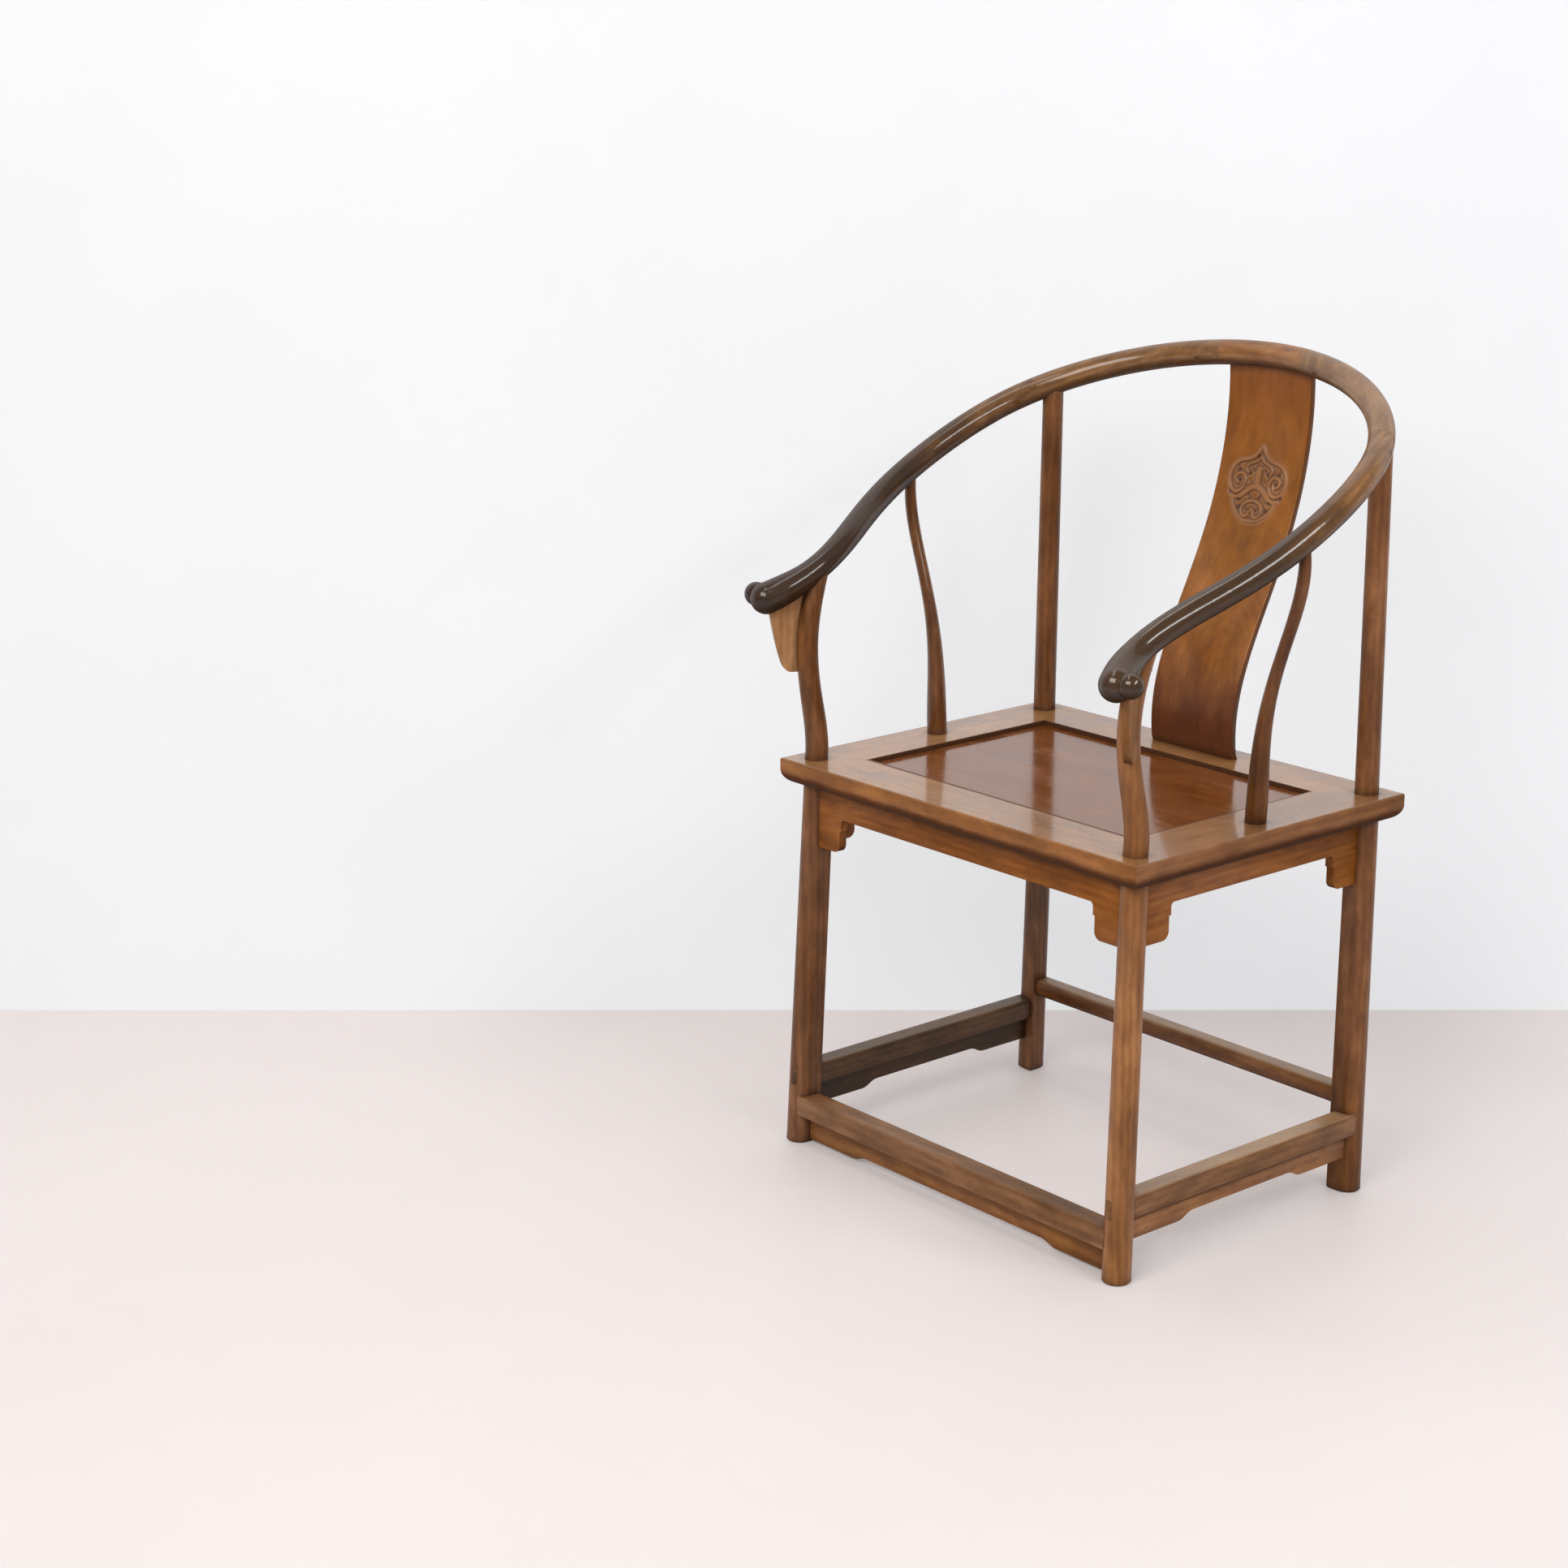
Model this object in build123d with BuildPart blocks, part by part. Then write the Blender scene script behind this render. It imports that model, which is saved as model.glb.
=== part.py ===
from build123d import *
from math import atan, cos, degrees, radians, sin
import os

# Horseshoe back armchair, joined without screws or glue blocks.
# Millimetres. Z is up, the sitter faces -Y, the floor is Z = 0 and the origin lies on the
# floor under the middle of the chair. "right" is the +X side, as seen from in front.

os.makedirs("parts", exist_ok=True)

# Joinery
fit = 0.1            # clearance round a tenon, tongue or pin
seat_fit = 0.15      # clearance of a coped end round the curved piece it meets
tenon_end = 1.0      # gap at the bottom of a blind mortise

# Seat
seat_width = 600
seat_depth = 458
seat_height = 500
frame_thick = 32
frame_member = 78        # width of the four frame members
frame_band = 14          # upright band of the moulded edge, above its quarter round
frame_arris = 1.5
panel_drop = 5.5         # panel's top below the frame's
panel_thick = 12
panel_tongue = 6         # thickness of the tongue round the panel
panel_rebate = 0.6       # how far the tongue's top lies below the panel's
panel_groove = 8         # depth of the groove in the frame
panel_play = 0.2         # shrinkage gap at the panel's edge
corner_tenon_inset = 50  # from the seat's edge to the mitre's tenon
corner_tenon_wide = 22
corner_tenon_thick = 10
corner_tenon_lift = 5    # from the frame's underside to the tenon
corner_tenon_end = 14    # wood left outside the tenon's end
batten_gap = 190         # between the two battens' middles
batten_wide = 34
batten_thick = 14
dovetail_wide = 26
dovetail_deep = 3
dovetail_lean = 2
batten_tenon_wide = 22
batten_tenon_thick = 8
batten_tenon_long = 12

# Legs: round outside, square at the inner corner
leg_inset = 31.5         # from the seat's edges to a leg's axis
leg_top_d = 31
leg_foot_d = 34
foot_edge = 2
front_splay_x = 9
front_splay_y = 18
rear_splay_x = 5
rear_splay_y = -5
neck_d = 28.5            # where a leg passes through the seat frame

# Posts above the seat
rear_post_top_d = 26
rear_post_lean_x = 4
rear_post_lean_y = 1.5
post_tenon_d = 12
post_tenon_rise = 5      # above the rail's centre line
goose_forward = 15       # how far the goose-neck bows forward
goose_waist_d = 26
# along the goose-neck: share of its height, forward and outward of the leg's axis, diameter
goose_stations = (
    (0.251, 0.3 * goose_forward, 0, neck_d - 1),
    (0.523, goose_forward, -1, goose_waist_d),
    (0.774, 0.7 * goose_forward, 0, goose_waist_d),
)
goose_top_back = 5.5     # its top, behind the leg's axis
goose_top_out = 3
goose_top_d = 27
side_post_inset = 34     # foot of the side post, from the seat's edge
side_post_back = 3       # behind the seat's middle
side_post_d = 25
# along the side post: share of its height, share of its lean outwards, diameter
side_post_stations = ((0.239, 0.07, 21.5), (0.478, 0.31, 16), (0.717, 0.8, 15))
side_post_top_d = 11.5
side_foot_tenon_d = 14
side_foot_tenon_long = 16
side_top_tenon_d = 7
side_tenon_rise = 3

# Crest rail
rail_d = 31
rail_height = 981        # its centre line at the middle of the back
rail_slope = 0.49        # fall towards the front, per length
rail_behind_posts = 104.5
rail_beyond_seat = 18.5  # its centre line outside the seat's edge, where it is widest
rail_widest_back = 58    # the widest point, behind the seat's middle
arm_swell_out = 5        # the arm between the widest point and the goose-neck
arm_swell_ahead = 136
hand_ahead = 30          # last centre, ahead of the seat's front edge
hand_out = 22            # and outside the leg's axis
hand_lift = 0            # above the slope
hand_swell_length = 75   # from the goose-neck to the last centre
arm_steps = 7
hand_steps = 4
hand_d = 38.5
hand_lip = 0.4           # the rounded end stands this proud of the arm
curl_d = 29              # the outer curl of the hand
curl_out = 20
curl_back = 1
curl_rise = 2
back_joint = 100         # scarf joints, measured along the rail from the middle
arm_joint = 355
lap = 32                 # half the length of a scarf joint
pin_wide = 8
pin_high = 7
tongue_long = 5
tongue_wide = 9
tongue_thick = 5
tongue_rise = 7

# Back splat
splat_thick = 9
splat_foot_width = 134
splat_head_width = 131
splat_inset = 42         # front of its foot, from the seat's rear edge
splat_foot_tenon = 14
splat_tenon_shoulder = 10
splat_tenon_thick = 6
splat_head_gap = 4       # its head tenon ends this far under the rail's centre line
splat_back = 5           # its middle behind the rail's centre line
# share of the splat's height, and share of its whole lean backwards reached there
splat_bends = ((0, 0), (0.19, 0.05), (0.375, 0.38), (0.56, 0.74), (0.75, 0.965), (1, 1))

# Ear brackets under the arms
bracket_thick = 9
bracket_turn = 26.5      # degrees outwards from straight ahead
bracket_least = 60       # height of the bracket, and what it gains with the goose-neck's
bracket_share = 0.28
bracket_sole = 5.5       # length of its level foot, ahead of the goose-neck
wing_back = 10           # where its blank starts, inside the goose-neck
# distance ahead of the goose-neck and share of its height along its curved edge
bracket_bends = ((13.5, 0.016), (20.5, 0.11), (27.5, 0.315), (33.5, 0.551), (37.5, 0.819))

# Aprons under the seat
apron_thick = 11
apron_drop = 34          # below the frame
apron_setback = 8.5      # behind the legs' front and back faces
side_apron_setback = 13  # behind their outer side faces
apron_tongue = 5         # height of the tongue in the frame's underside
apron_tongue_thick = 5.5
apron_housing = 7.5      # how far an end runs into the leg
spandrel_drop = 77
spandrel_reach = 55      # from the leg's axis to the spandrel's inner edge
side_spandrel_reach = 59
spandrel_step = 3
spandrel_step_drop = 15
spandrel_round = 10
apron_fillet = 5

# Stretchers: low in front, higher at the sides, highest at the back
footrest_top = 63.5
footrest_high = 25
footrest_deep = 30
footrest_round = 2.5
side_top = 101.5
side_high = 25
side_wide = 28
side_round = 4
rear_top = 129.5
rear_high = 22
rear_wide = 28
rear_round = 7
foot_tenon_thick = 12
foot_tenon_high = 15
foot_tenon_long = 12
through_tenon_thick = 10
through_tenon_high = 23
rear_tenon_thick = 12
rear_tenon_high = 12
rear_tenon_long = 12
lower_apron_thick = 10
foot_apron_back = 5.5    # its middle, behind the legs' axes
foot_apron_gap = 4       # above the floor at its ends
foot_apron_rise = 6
foot_apron_end = 111     # middle of the step, from the leg's axis
side_apron_drop = 31     # below the side stretcher, at its ends
side_apron_rise = 8
side_apron_end = 107.5
ogee = 26                # length of the step in a lower apron
lower_housing = 9

# Places worked out from the sizes
half_width = seat_width / 2
half_depth = seat_depth / 2
frame_under = seat_height - frame_thick
leg_x = half_width - leg_inset
rail_radius = rail_d / 2
rail_back_reach = half_depth - leg_inset + rail_behind_posts
front_reach = half_depth + hand_ahead + hand_d / 2 + hand_lip
seat_y = (front_reach - rail_back_reach - rail_radius) / 2
front_edge = seat_y - half_depth
rear_edge = seat_y + half_depth
front_leg_y = front_edge + leg_inset
rear_leg_y = rear_edge - leg_inset
rail_back_y = seat_y + rail_back_reach
block = 4 * lap

UP = (Align.CENTER, Align.CENTER, Align.MIN)
DOWN = (Align.CENTER, Align.CENTER, Align.MAX)


def write(piece, name):
    piece.label = name
    export_step(piece, f"parts/{name}.step")


def write_pair(right, name):
    # the piece built on the +X side, and its mirror image
    with BuildPart() as left:
        mirror(right, about=Plane.YZ)
    write(right, f"{name}_right")
    write(left.part, f"{name}_left")


def box_between(low, high, mode=Mode.ADD):
    size = [b - a for a, b in zip(low, high)]
    middle = [(a + b) / 2 for a, b in zip(low, high)]
    with Locations(tuple(middle)):
        Box(*size, mode=mode)


def grown(box):
    low, high = box
    return [value - fit for value in low], [value + fit for value in high]


# ---------------------------------------------------------------- crest rail
# The horseshoe lies in one sloping plane: half an ellipse at the back, then the two arms,
# which close in over the goose-necks and flare out to the hands.

def rail_z(y):
    return rail_height - rail_slope * (rail_back_y - y)


def rail_point(x, y, lift=0):
    return (x, y, rail_z(y) + lift)


rail_half_width = half_width + rail_beyond_seat
rail_widest_y = seat_y + rail_widest_back
neck_top_x = leg_x + goose_top_out
neck_top_y = front_leg_y + goose_top_back
neck_rise = rail_z(neck_top_y) - seat_height
hand_x = leg_x + hand_out
hand_y = front_edge - hand_ahead
right_half = []
for angle in (0, 22.5, 45, 67.5, 90):
    across = rail_half_width * sin(radians(angle))
    along = (rail_back_y - rail_widest_y) * cos(radians(angle))
    right_half.append(rail_point(across, rail_widest_y + along))
right_half.append(rail_point(half_width + arm_swell_out, rail_widest_y - arm_swell_ahead))
right_half.append(rail_point(neck_top_x, neck_top_y))
right_half.append(rail_point(hand_x, hand_y, hand_lift))
left_half = [(-x, y, z) for x, y, z in reversed(right_half[1:])]
rail_path = Spline(*left_half, *right_half)
rail_tilt = atan(rail_slope)
rail_normal = Vector(0, -sin(rail_tilt), cos(rail_tilt))
half_length = rail_path.length / 2


def rail_frame(distance):
    # x runs along the rail, away from the middle of the back, and z is square to its plane
    place = half_length + distance
    ahead = rail_path.tangent_at(place / rail_path.length)
    origin = rail_path.position_at(place / rail_path.length)
    if distance < 0:
        ahead = -ahead
    return Plane(origin=origin, x_dir=ahead, z_dir=rail_normal)


def rail_section(distance):
    # across the rail, with the seam of a round drawn on it along the top
    frame = rail_frame(distance)
    return Plane(origin=frame.origin, x_dir=rail_normal, z_dir=frame.x_dir)


def round_length(start, end):
    # a length of the rail's plain round part
    part_of_path = rail_path.trim(rail_frame(start).origin, rail_frame(end).origin)
    with BuildSketch(Plane(origin=part_of_path @ 0, z_dir=part_of_path % 0)) as section:
        Circle(rail_radius)
    sweep(section.sketch, path=part_of_path)


def pin_hole(frame):
    with Locations(frame):
        Box(pin_wide + 2 * fit, block, pin_high + 2 * fit, mode=Mode.SUBTRACT)


def lower_lap(frame):
    # the end nearer the middle keeps the lower half of the lap
    with Locations(frame):
        with Locations((-lap, 0, 0)):
            Box(block, block, block, align=(Align.MIN, Align.CENTER, Align.MIN), mode=Mode.SUBTRACT)
        with Locations((lap, 0, 0)):
            Box(block, block, block, align=(Align.MIN, Align.CENTER, Align.MAX), mode=Mode.SUBTRACT)
        with Locations((-lap - tongue_long / 2 - fit, 0, tongue_rise)):
            Box(tongue_long + 2 * fit, tongue_wide + 2 * fit, tongue_thick + 2 * fit, mode=Mode.SUBTRACT)
        with Locations((lap, 0, -tongue_rise)):
            Box(2 * tongue_long, tongue_wide, tongue_thick)
    pin_hole(frame)


def upper_lap(frame):
    # the end further from the middle keeps the upper half
    with Locations(frame):
        with Locations((lap, 0, 0)):
            Box(block, block, block, align=(Align.MAX, Align.CENTER, Align.MAX), mode=Mode.SUBTRACT)
        with Locations((-lap, 0, 0)):
            Box(block, block, block, align=(Align.MAX, Align.CENTER, Align.MIN), mode=Mode.SUBTRACT)
        with Locations((lap + tongue_long / 2 + fit, 0, -tongue_rise)):
            Box(tongue_long + 2 * fit, tongue_wide + 2 * fit, tongue_thick + 2 * fit, mode=Mode.SUBTRACT)
        with Locations((-lap, 0, tongue_rise)):
            Box(2 * tongue_long, tongue_wide, tongue_thick)
    pin_hole(frame)


spare = lap + 2 * tongue_long
back_frame = rail_frame(back_joint)
arm_frame = rail_frame(arm_joint)

# Where the posts meet the rail
rear_post_x = leg_x - rear_post_lean_x
rear_post_y = rear_leg_y - rear_post_lean_y
side_post_y = seat_y + side_post_back
side_post_foot_x = half_width - side_post_inset


# Where the splat meets the seat and the rail
splat_foot_y = rear_edge - splat_inset
splat_front = rail_back_y + splat_back - splat_thick / 2
splat_rise = rail_height - seat_height
splat_lean = splat_front - splat_foot_y
splat_tenon = (
    (
        -splat_foot_width / 2 + splat_tenon_shoulder,
        splat_foot_y + (splat_thick - splat_tenon_thick) / 2,
        seat_height - splat_foot_tenon,
    ),
    (
        splat_foot_width / 2 - splat_tenon_shoulder,
        splat_foot_y + (splat_thick + splat_tenon_thick) / 2,
        seat_height,
    ),
)
splat_head_tenon = (
    (
        -splat_head_width / 2 + splat_tenon_shoulder,
        splat_front + (splat_thick - splat_tenon_thick) / 2,
        rail_height - rail_radius,
    ),
    (
        splat_head_width / 2 - splat_tenon_shoulder,
        splat_front + (splat_thick + splat_tenon_thick) / 2,
        rail_height - splat_head_gap,
    ),
)

with BuildPart() as rail_centre_round:
    round_length(-back_joint - spare, back_joint + spare)

with BuildPart() as rail_centre:
    add(rail_centre_round.part)
    lower_lap(back_frame)
    lower_lap(rail_frame(-back_joint))
    low, high = grown(splat_head_tenon)
    box_between(low, (high[0], high[1], high[2] + tenon_end), Mode.SUBTRACT)
write(rail_centre.part, "crest_rail_centre")

with BuildPart() as rail_shoulder_round:
    round_length(back_joint - spare, arm_joint + spare)

with BuildPart() as rail_shoulder:
    add(rail_shoulder_round.part)
    upper_lap(back_frame)
    lower_lap(arm_frame)
    with Locations((rear_post_x, rear_post_y, rail_z(rear_post_y) + post_tenon_rise + tenon_end)):
        Cylinder(post_tenon_d / 2 + fit, block, align=DOWN, mode=Mode.SUBTRACT)
write_pair(rail_shoulder.part, "crest_rail_shoulder")

# The arm keeps the rail's thickness as far as the goose-neck, then swells to the hand, whose
# tip curls outwards and back.
arm_end = half_length
neck_distance = arm_end - hand_swell_length
with BuildPart() as arm_solid:
    arm_sections = []
    arm_start = arm_joint - spare
    for step in range(arm_steps + 1):
        distance = arm_start + (neck_distance - arm_start) * step / arm_steps
        with BuildSketch(rail_section(distance)) as section:
            Circle(rail_radius)
        arm_sections.append(section.sketch)
    for step in range(1, hand_steps + 1):
        share = step / hand_steps
        swell = sin(share * radians(90)) ** 2
        distance = neck_distance + (arm_end - neck_distance) * share
        with BuildSketch(rail_section(distance)) as section:
            Circle(rail_radius + (hand_d - rail_d) / 2 * swell)
        arm_sections.append(section.sketch)
    loft(arm_sections)
    hand = rail_frame(arm_end)
    with Locations(Plane(origin=hand.origin, z_dir=hand.x_dir)):
        Sphere(hand_d / 2 + hand_lip)
    curl = Vector(curl_out, curl_back, curl_rise)
    with Locations(Plane(origin=hand.origin + curl, z_dir=curl)):
        Sphere(curl_d / 2)

side_post_x = rail_half_width
with BuildPart() as arm:
    add(arm_solid.part)
    upper_lap(arm_frame)
    with Locations((side_post_x, side_post_y, rail_z(side_post_y) + side_tenon_rise + tenon_end)):
        Cylinder(side_top_tenon_d / 2 + fit, block, align=DOWN, mode=Mode.SUBTRACT)
    with Locations((neck_top_x, neck_top_y, rail_z(neck_top_y) + post_tenon_rise + tenon_end)):
        Cylinder(post_tenon_d / 2 + fit, block, align=DOWN, mode=Mode.SUBTRACT)
write_pair(arm.part, "arm")


def wedge_pin(frame):
    # a square pin across the middle of a scarf joint, trimmed flush with the rail
    length = 2 * (rail_radius ** 2 - (pin_high / 2) ** 2) ** 0.5
    with Locations(frame):
        Box(pin_wide, length, pin_high)


with BuildPart() as back_pin:
    wedge_pin(back_frame)
write_pair(back_pin.part, "back_scarf_pin")

with BuildPart() as arm_pin:
    wedge_pin(arm_frame)
write_pair(arm_pin.part, "arm_scarf_pin")

# ---------------------------------------------------------------- legs and posts


def leg_section(z, x, y, diameter, inner_y):
    # a round with its inner corner left square; inner_y is +1 where that corner faces +Y
    along = Align.MIN if inner_y > 0 else Align.MAX
    with BuildSketch(Plane.XY.offset(z)) as section:
        with Locations((x, y)):
            Circle(diameter / 2)
            Rectangle(diameter / 2, diameter / 2, align=(Align.MAX, along))
    return section.sketch


def leg_at(z, splay, top):
    # a leg's axis in one direction at height z
    return top + splay * (1 - z / frame_under)


def front_leg_axis(z):
    return leg_at(z, front_splay_x, leg_x), leg_at(z, -front_splay_y, front_leg_y)


def rear_leg_axis(z):
    return leg_at(z, rear_splay_x, leg_x), leg_at(z, rear_splay_y, rear_leg_y)


def lower_leg(axis, inner_y, grow=0):
    # grow widens it all round, for cutting the hollow in a stretcher's end
    foot = leg_section(0, *axis(0), leg_foot_d + 2 * grow, inner_y)
    head = leg_section(frame_under, *axis(frame_under), leg_top_d + 2 * grow, inner_y)
    loft([foot, head])


def post_through(stations):
    # a turned post through (x, y, z, diameter) stations
    rounds = []
    for x, y, z, diameter in stations:
        with BuildSketch(Plane.XY.offset(z)) as section:
            with Locations((x, y)):
                Circle(diameter / 2)
        rounds.append(section.sketch)
    loft(rounds)


def tenon_up(x, y, z_low, z_high, diameter):
    with Locations((x, y, z_low)):
        Cylinder(diameter / 2, z_high - z_low, align=UP)


with BuildPart() as front_leg_blank:
    lower_leg(front_leg_axis, 1)
    chamfer(front_leg_blank.faces().sort_by(Axis.Z)[0].edges(), foot_edge)
    tenon_up(leg_x, front_leg_y, frame_under, seat_height, neck_d)

with BuildPart() as rear_leg_blank:
    lower_leg(rear_leg_axis, -1)
    chamfer(rear_leg_blank.faces().sort_by(Axis.Z)[0].edges(), foot_edge)
    tenon_up(leg_x, rear_leg_y, frame_under, seat_height, neck_d)

# Heights of the stretchers' middles, where they meet the legs
footrest_z = footrest_top - footrest_high / 2
side_z = side_top - side_high / 2
rear_z = rear_top - rear_high / 2
foot_leg_x, foot_leg_y = front_leg_axis(footrest_z)
side_leg_x, side_leg_y = front_leg_axis(side_z)
side_rear_x, side_rear_y = rear_leg_axis(side_z)
rear_stretcher_x, rear_stretcher_y = rear_leg_axis(rear_z)

apron_front = front_leg_y - leg_top_d / 2 + apron_setback
apron_rear = rear_leg_y + leg_top_d / 2 - apron_setback
apron_side = leg_x + leg_top_d / 2 - side_apron_setback
spandrel_foot = frame_under - spandrel_drop
foot_apron_y = foot_leg_y + foot_apron_back


def housing(low, high):
    # a slot that a board's end runs into
    box_between(*grown((low, high)), Mode.SUBTRACT)


# Boards and stretchers, as boxes that the legs' mortises are cut from as well
foot_tenon = (
    (0, foot_leg_y - foot_tenon_thick / 2, footrest_z - foot_tenon_high / 2),
    (
        foot_leg_x - leg_top_d / 2 + foot_tenon_long,
        foot_leg_y + foot_tenon_thick / 2,
        footrest_z + foot_tenon_high / 2,
    ),
)
rear_tenon = (
    (0, rear_stretcher_y - rear_tenon_thick / 2, rear_z - rear_tenon_high / 2),
    (
        rear_stretcher_x - leg_top_d / 2 + rear_tenon_long,
        rear_stretcher_y + rear_tenon_thick / 2,
        rear_z + rear_tenon_high / 2,
    ),
)
side_x = (side_leg_x + side_rear_x) / 2
# long enough to stand out of both legs before it is trimmed flush
side_tenon = (
    (side_x - through_tenon_thick / 2, side_leg_y - leg_foot_d, side_z - through_tenon_high / 2),
    (side_x + through_tenon_thick / 2, side_rear_y + leg_foot_d, side_z + through_tenon_high / 2),
)
front_apron_end = leg_x - leg_top_d / 2 + apron_housing
side_apron_front = front_leg_y + leg_top_d / 2 - apron_housing
side_apron_rear = rear_leg_y - leg_top_d / 2 + apron_housing
lower_side_low = side_z - side_high / 2 - side_apron_drop
lower_side_front = front_leg_axis(lower_side_low)[1] + leg_foot_d / 2 - lower_housing
lower_side_rear = rear_leg_axis(lower_side_low)[1] - leg_foot_d / 2 + lower_housing
foot_apron_x = foot_leg_x - leg_foot_d / 2 + lower_housing
footrest_under = footrest_top - footrest_high
side_under = side_top - side_high

with BuildPart() as front_leg:
    add(front_leg_blank.part)
    post_through([
        (leg_x, front_leg_y, seat_height, neck_d),
        *[
            (leg_x + out, front_leg_y - forward, seat_height + share * neck_rise, diameter)
            for share, forward, out, diameter in goose_stations
        ],
        (neck_top_x, neck_top_y, rail_z(neck_top_y), goose_top_d),
    ])
    add(arm_solid.part, mode=Mode.SUBTRACT)
    tenon_up(
        neck_top_x, neck_top_y,
        rail_z(neck_top_y) - rail_d, rail_z(neck_top_y) + post_tenon_rise, post_tenon_d,
    )
    housing(*foot_tenon)
    housing(*side_tenon)
    housing(
        (0, apron_front, spandrel_foot),
        (front_apron_end, apron_front + apron_thick, frame_under + fit),
    )
    housing(
        (apron_side - apron_thick, side_apron_front, spandrel_foot),
        (apron_side, seat_y, frame_under + fit),
    )
    housing(
        (0, foot_apron_y - lower_apron_thick / 2, foot_apron_gap),
        (foot_apron_x, foot_apron_y + lower_apron_thick / 2, footrest_under),
    )
    housing(
        (side_x - lower_apron_thick / 2, lower_side_front, lower_side_low),
        (side_x + lower_apron_thick / 2, seat_y, side_under),
    )
write_pair(front_leg.part, "front_leg")

with BuildPart() as rear_leg:
    add(rear_leg_blank.part)
    post_through([
        (leg_x, rear_leg_y, seat_height, neck_d),
        (rear_post_x, rear_post_y, rail_z(rear_post_y), rear_post_top_d),
    ])
    add(rail_shoulder_round.part, mode=Mode.SUBTRACT)
    tenon_up(
        rear_post_x, rear_post_y,
        rail_z(rear_post_y) - rail_d, rail_z(rear_post_y) + post_tenon_rise, post_tenon_d,
    )
    housing(*rear_tenon)
    housing(*side_tenon)
    housing(
        (0, apron_rear - apron_thick, spandrel_foot),
        (front_apron_end, apron_rear, frame_under + fit),
    )
    housing(
        (apron_side - apron_thick, seat_y, spandrel_foot),
        (apron_side, side_apron_rear, frame_under + fit),
    )
    housing(
        (side_x - lower_apron_thick / 2, seat_y, lower_side_low),
        (side_x + lower_apron_thick / 2, lower_side_rear, side_under),
    )
write_pair(rear_leg.part, "rear_leg")

side_post_top_z = rail_z(side_post_y)
side_post_shift = side_post_x - side_post_foot_x
side_post_rise = side_post_top_z - seat_height
with BuildPart() as side_post:
    # an S-curve: plumb at the seat, leaning out to the rail
    post_through([
        (side_post_foot_x, side_post_y, seat_height, side_post_d),
        *[
            (
                side_post_foot_x + side_post_shift * lean, side_post_y,
                seat_height + side_post_rise * share, diameter,
            )
            for share, lean, diameter in side_post_stations
        ],
        (side_post_x, side_post_y, side_post_top_z, side_post_top_d),
    ])
    add(arm_solid.part, mode=Mode.SUBTRACT)
    tenon_up(
        side_post_x, side_post_y,
        side_post_top_z - rail_d, side_post_top_z + side_tenon_rise, side_top_tenon_d,
    )
    tenon_up(
        side_post_foot_x, side_post_y,
        seat_height - side_foot_tenon_long, seat_height, side_foot_tenon_d,
    )
write_pair(side_post.part, "side_post")

# ---------------------------------------------------------------- back splat

def splat_line(behind):
    # the splat's long S from the seat up, this far behind its front face
    return [
        (splat_foot_y + share * splat_lean + behind, seat_height + rise * splat_rise)
        for rise, share in splat_bends
    ]


with BuildPart() as back_splat:
    # a long S in profile, then trimmed to the slight taper seen from the front
    with BuildSketch(Plane.YZ) as profile:
        with BuildLine():
            front_line = Spline(*splat_line(0))
            rear_line = Spline(*splat_line(splat_thick))
            Line(front_line @ 0, rear_line @ 0)
            Line(front_line @ 1, rear_line @ 1)
        make_face()
    extrude(amount=splat_foot_width / 2, both=True)
    with BuildSketch(Plane.XZ.offset(-rail_back_y)) as outline:
        with BuildLine():
            Polyline(
                (-splat_foot_width / 2, seat_height),
                (splat_foot_width / 2, seat_height),
                (splat_head_width / 2, rail_height),
                (-splat_head_width / 2, rail_height),
                close=True,
            )
        make_face()
    extrude(amount=seat_depth, both=True, mode=Mode.INTERSECT)
    add(rail_centre_round.part, mode=Mode.SUBTRACT)
    box_between(*splat_tenon)
    box_between(*splat_head_tenon)
write(back_splat.part, "back_splat")

# ---------------------------------------------------------------- ear brackets
turn = radians(bracket_turn)
bracket_plane = Plane(
    origin=(leg_x, front_leg_y, rail_z(neck_top_y)),
    x_dir=(sin(turn), -cos(turn), 0),
    z_dir=(-cos(turn), -sin(turn), 0),
)
wing_start = (goose_forward + goose_waist_d / 2) * cos(turn)
bracket_drop = bracket_least + bracket_share * neck_rise
with BuildPart() as arm_bracket:
    # x of this plane runs forward from the leg's axis, y is up from the rail over the goose-neck
    with BuildSketch(bracket_plane) as wing:
        with BuildLine():
            foot = (wing_start + bracket_sole, -bracket_drop)
            outer_edge = Spline(
                foot,
                *[
                    (wing_start + ahead, (share - 1) * bracket_drop)
                    for ahead, share in bracket_bends
                ],
            )
            Polyline(
                outer_edge @ 1,
                (wing_back, -wing_back * rail_slope),
                (wing_back, -bracket_drop),
                foot,
            )
        make_face()
    extrude(amount=bracket_thick / 2, both=True)
    add(arm_solid.part, mode=Mode.SUBTRACT)
    add(front_leg.part, mode=Mode.SUBTRACT)
write_pair(arm_bracket.part, "arm_bracket")

# ---------------------------------------------------------------- seat frame
# Four members mitred at the corners. The front and back members carry the tenons.
inner_half_width = half_width - frame_member
inner_half_depth = half_depth - frame_member
panel_top = seat_height - panel_drop
panel_under = panel_top - panel_thick
edge_round = frame_thick - frame_band


def both_sides(box, mode=Mode.ADD):
    # a box on the +X side and its mirror image
    low, high = box
    box_between(low, high, mode)
    box_between((-high[0], low[1], low[2]), (-low[0], high[1], high[2]), mode)


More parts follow.
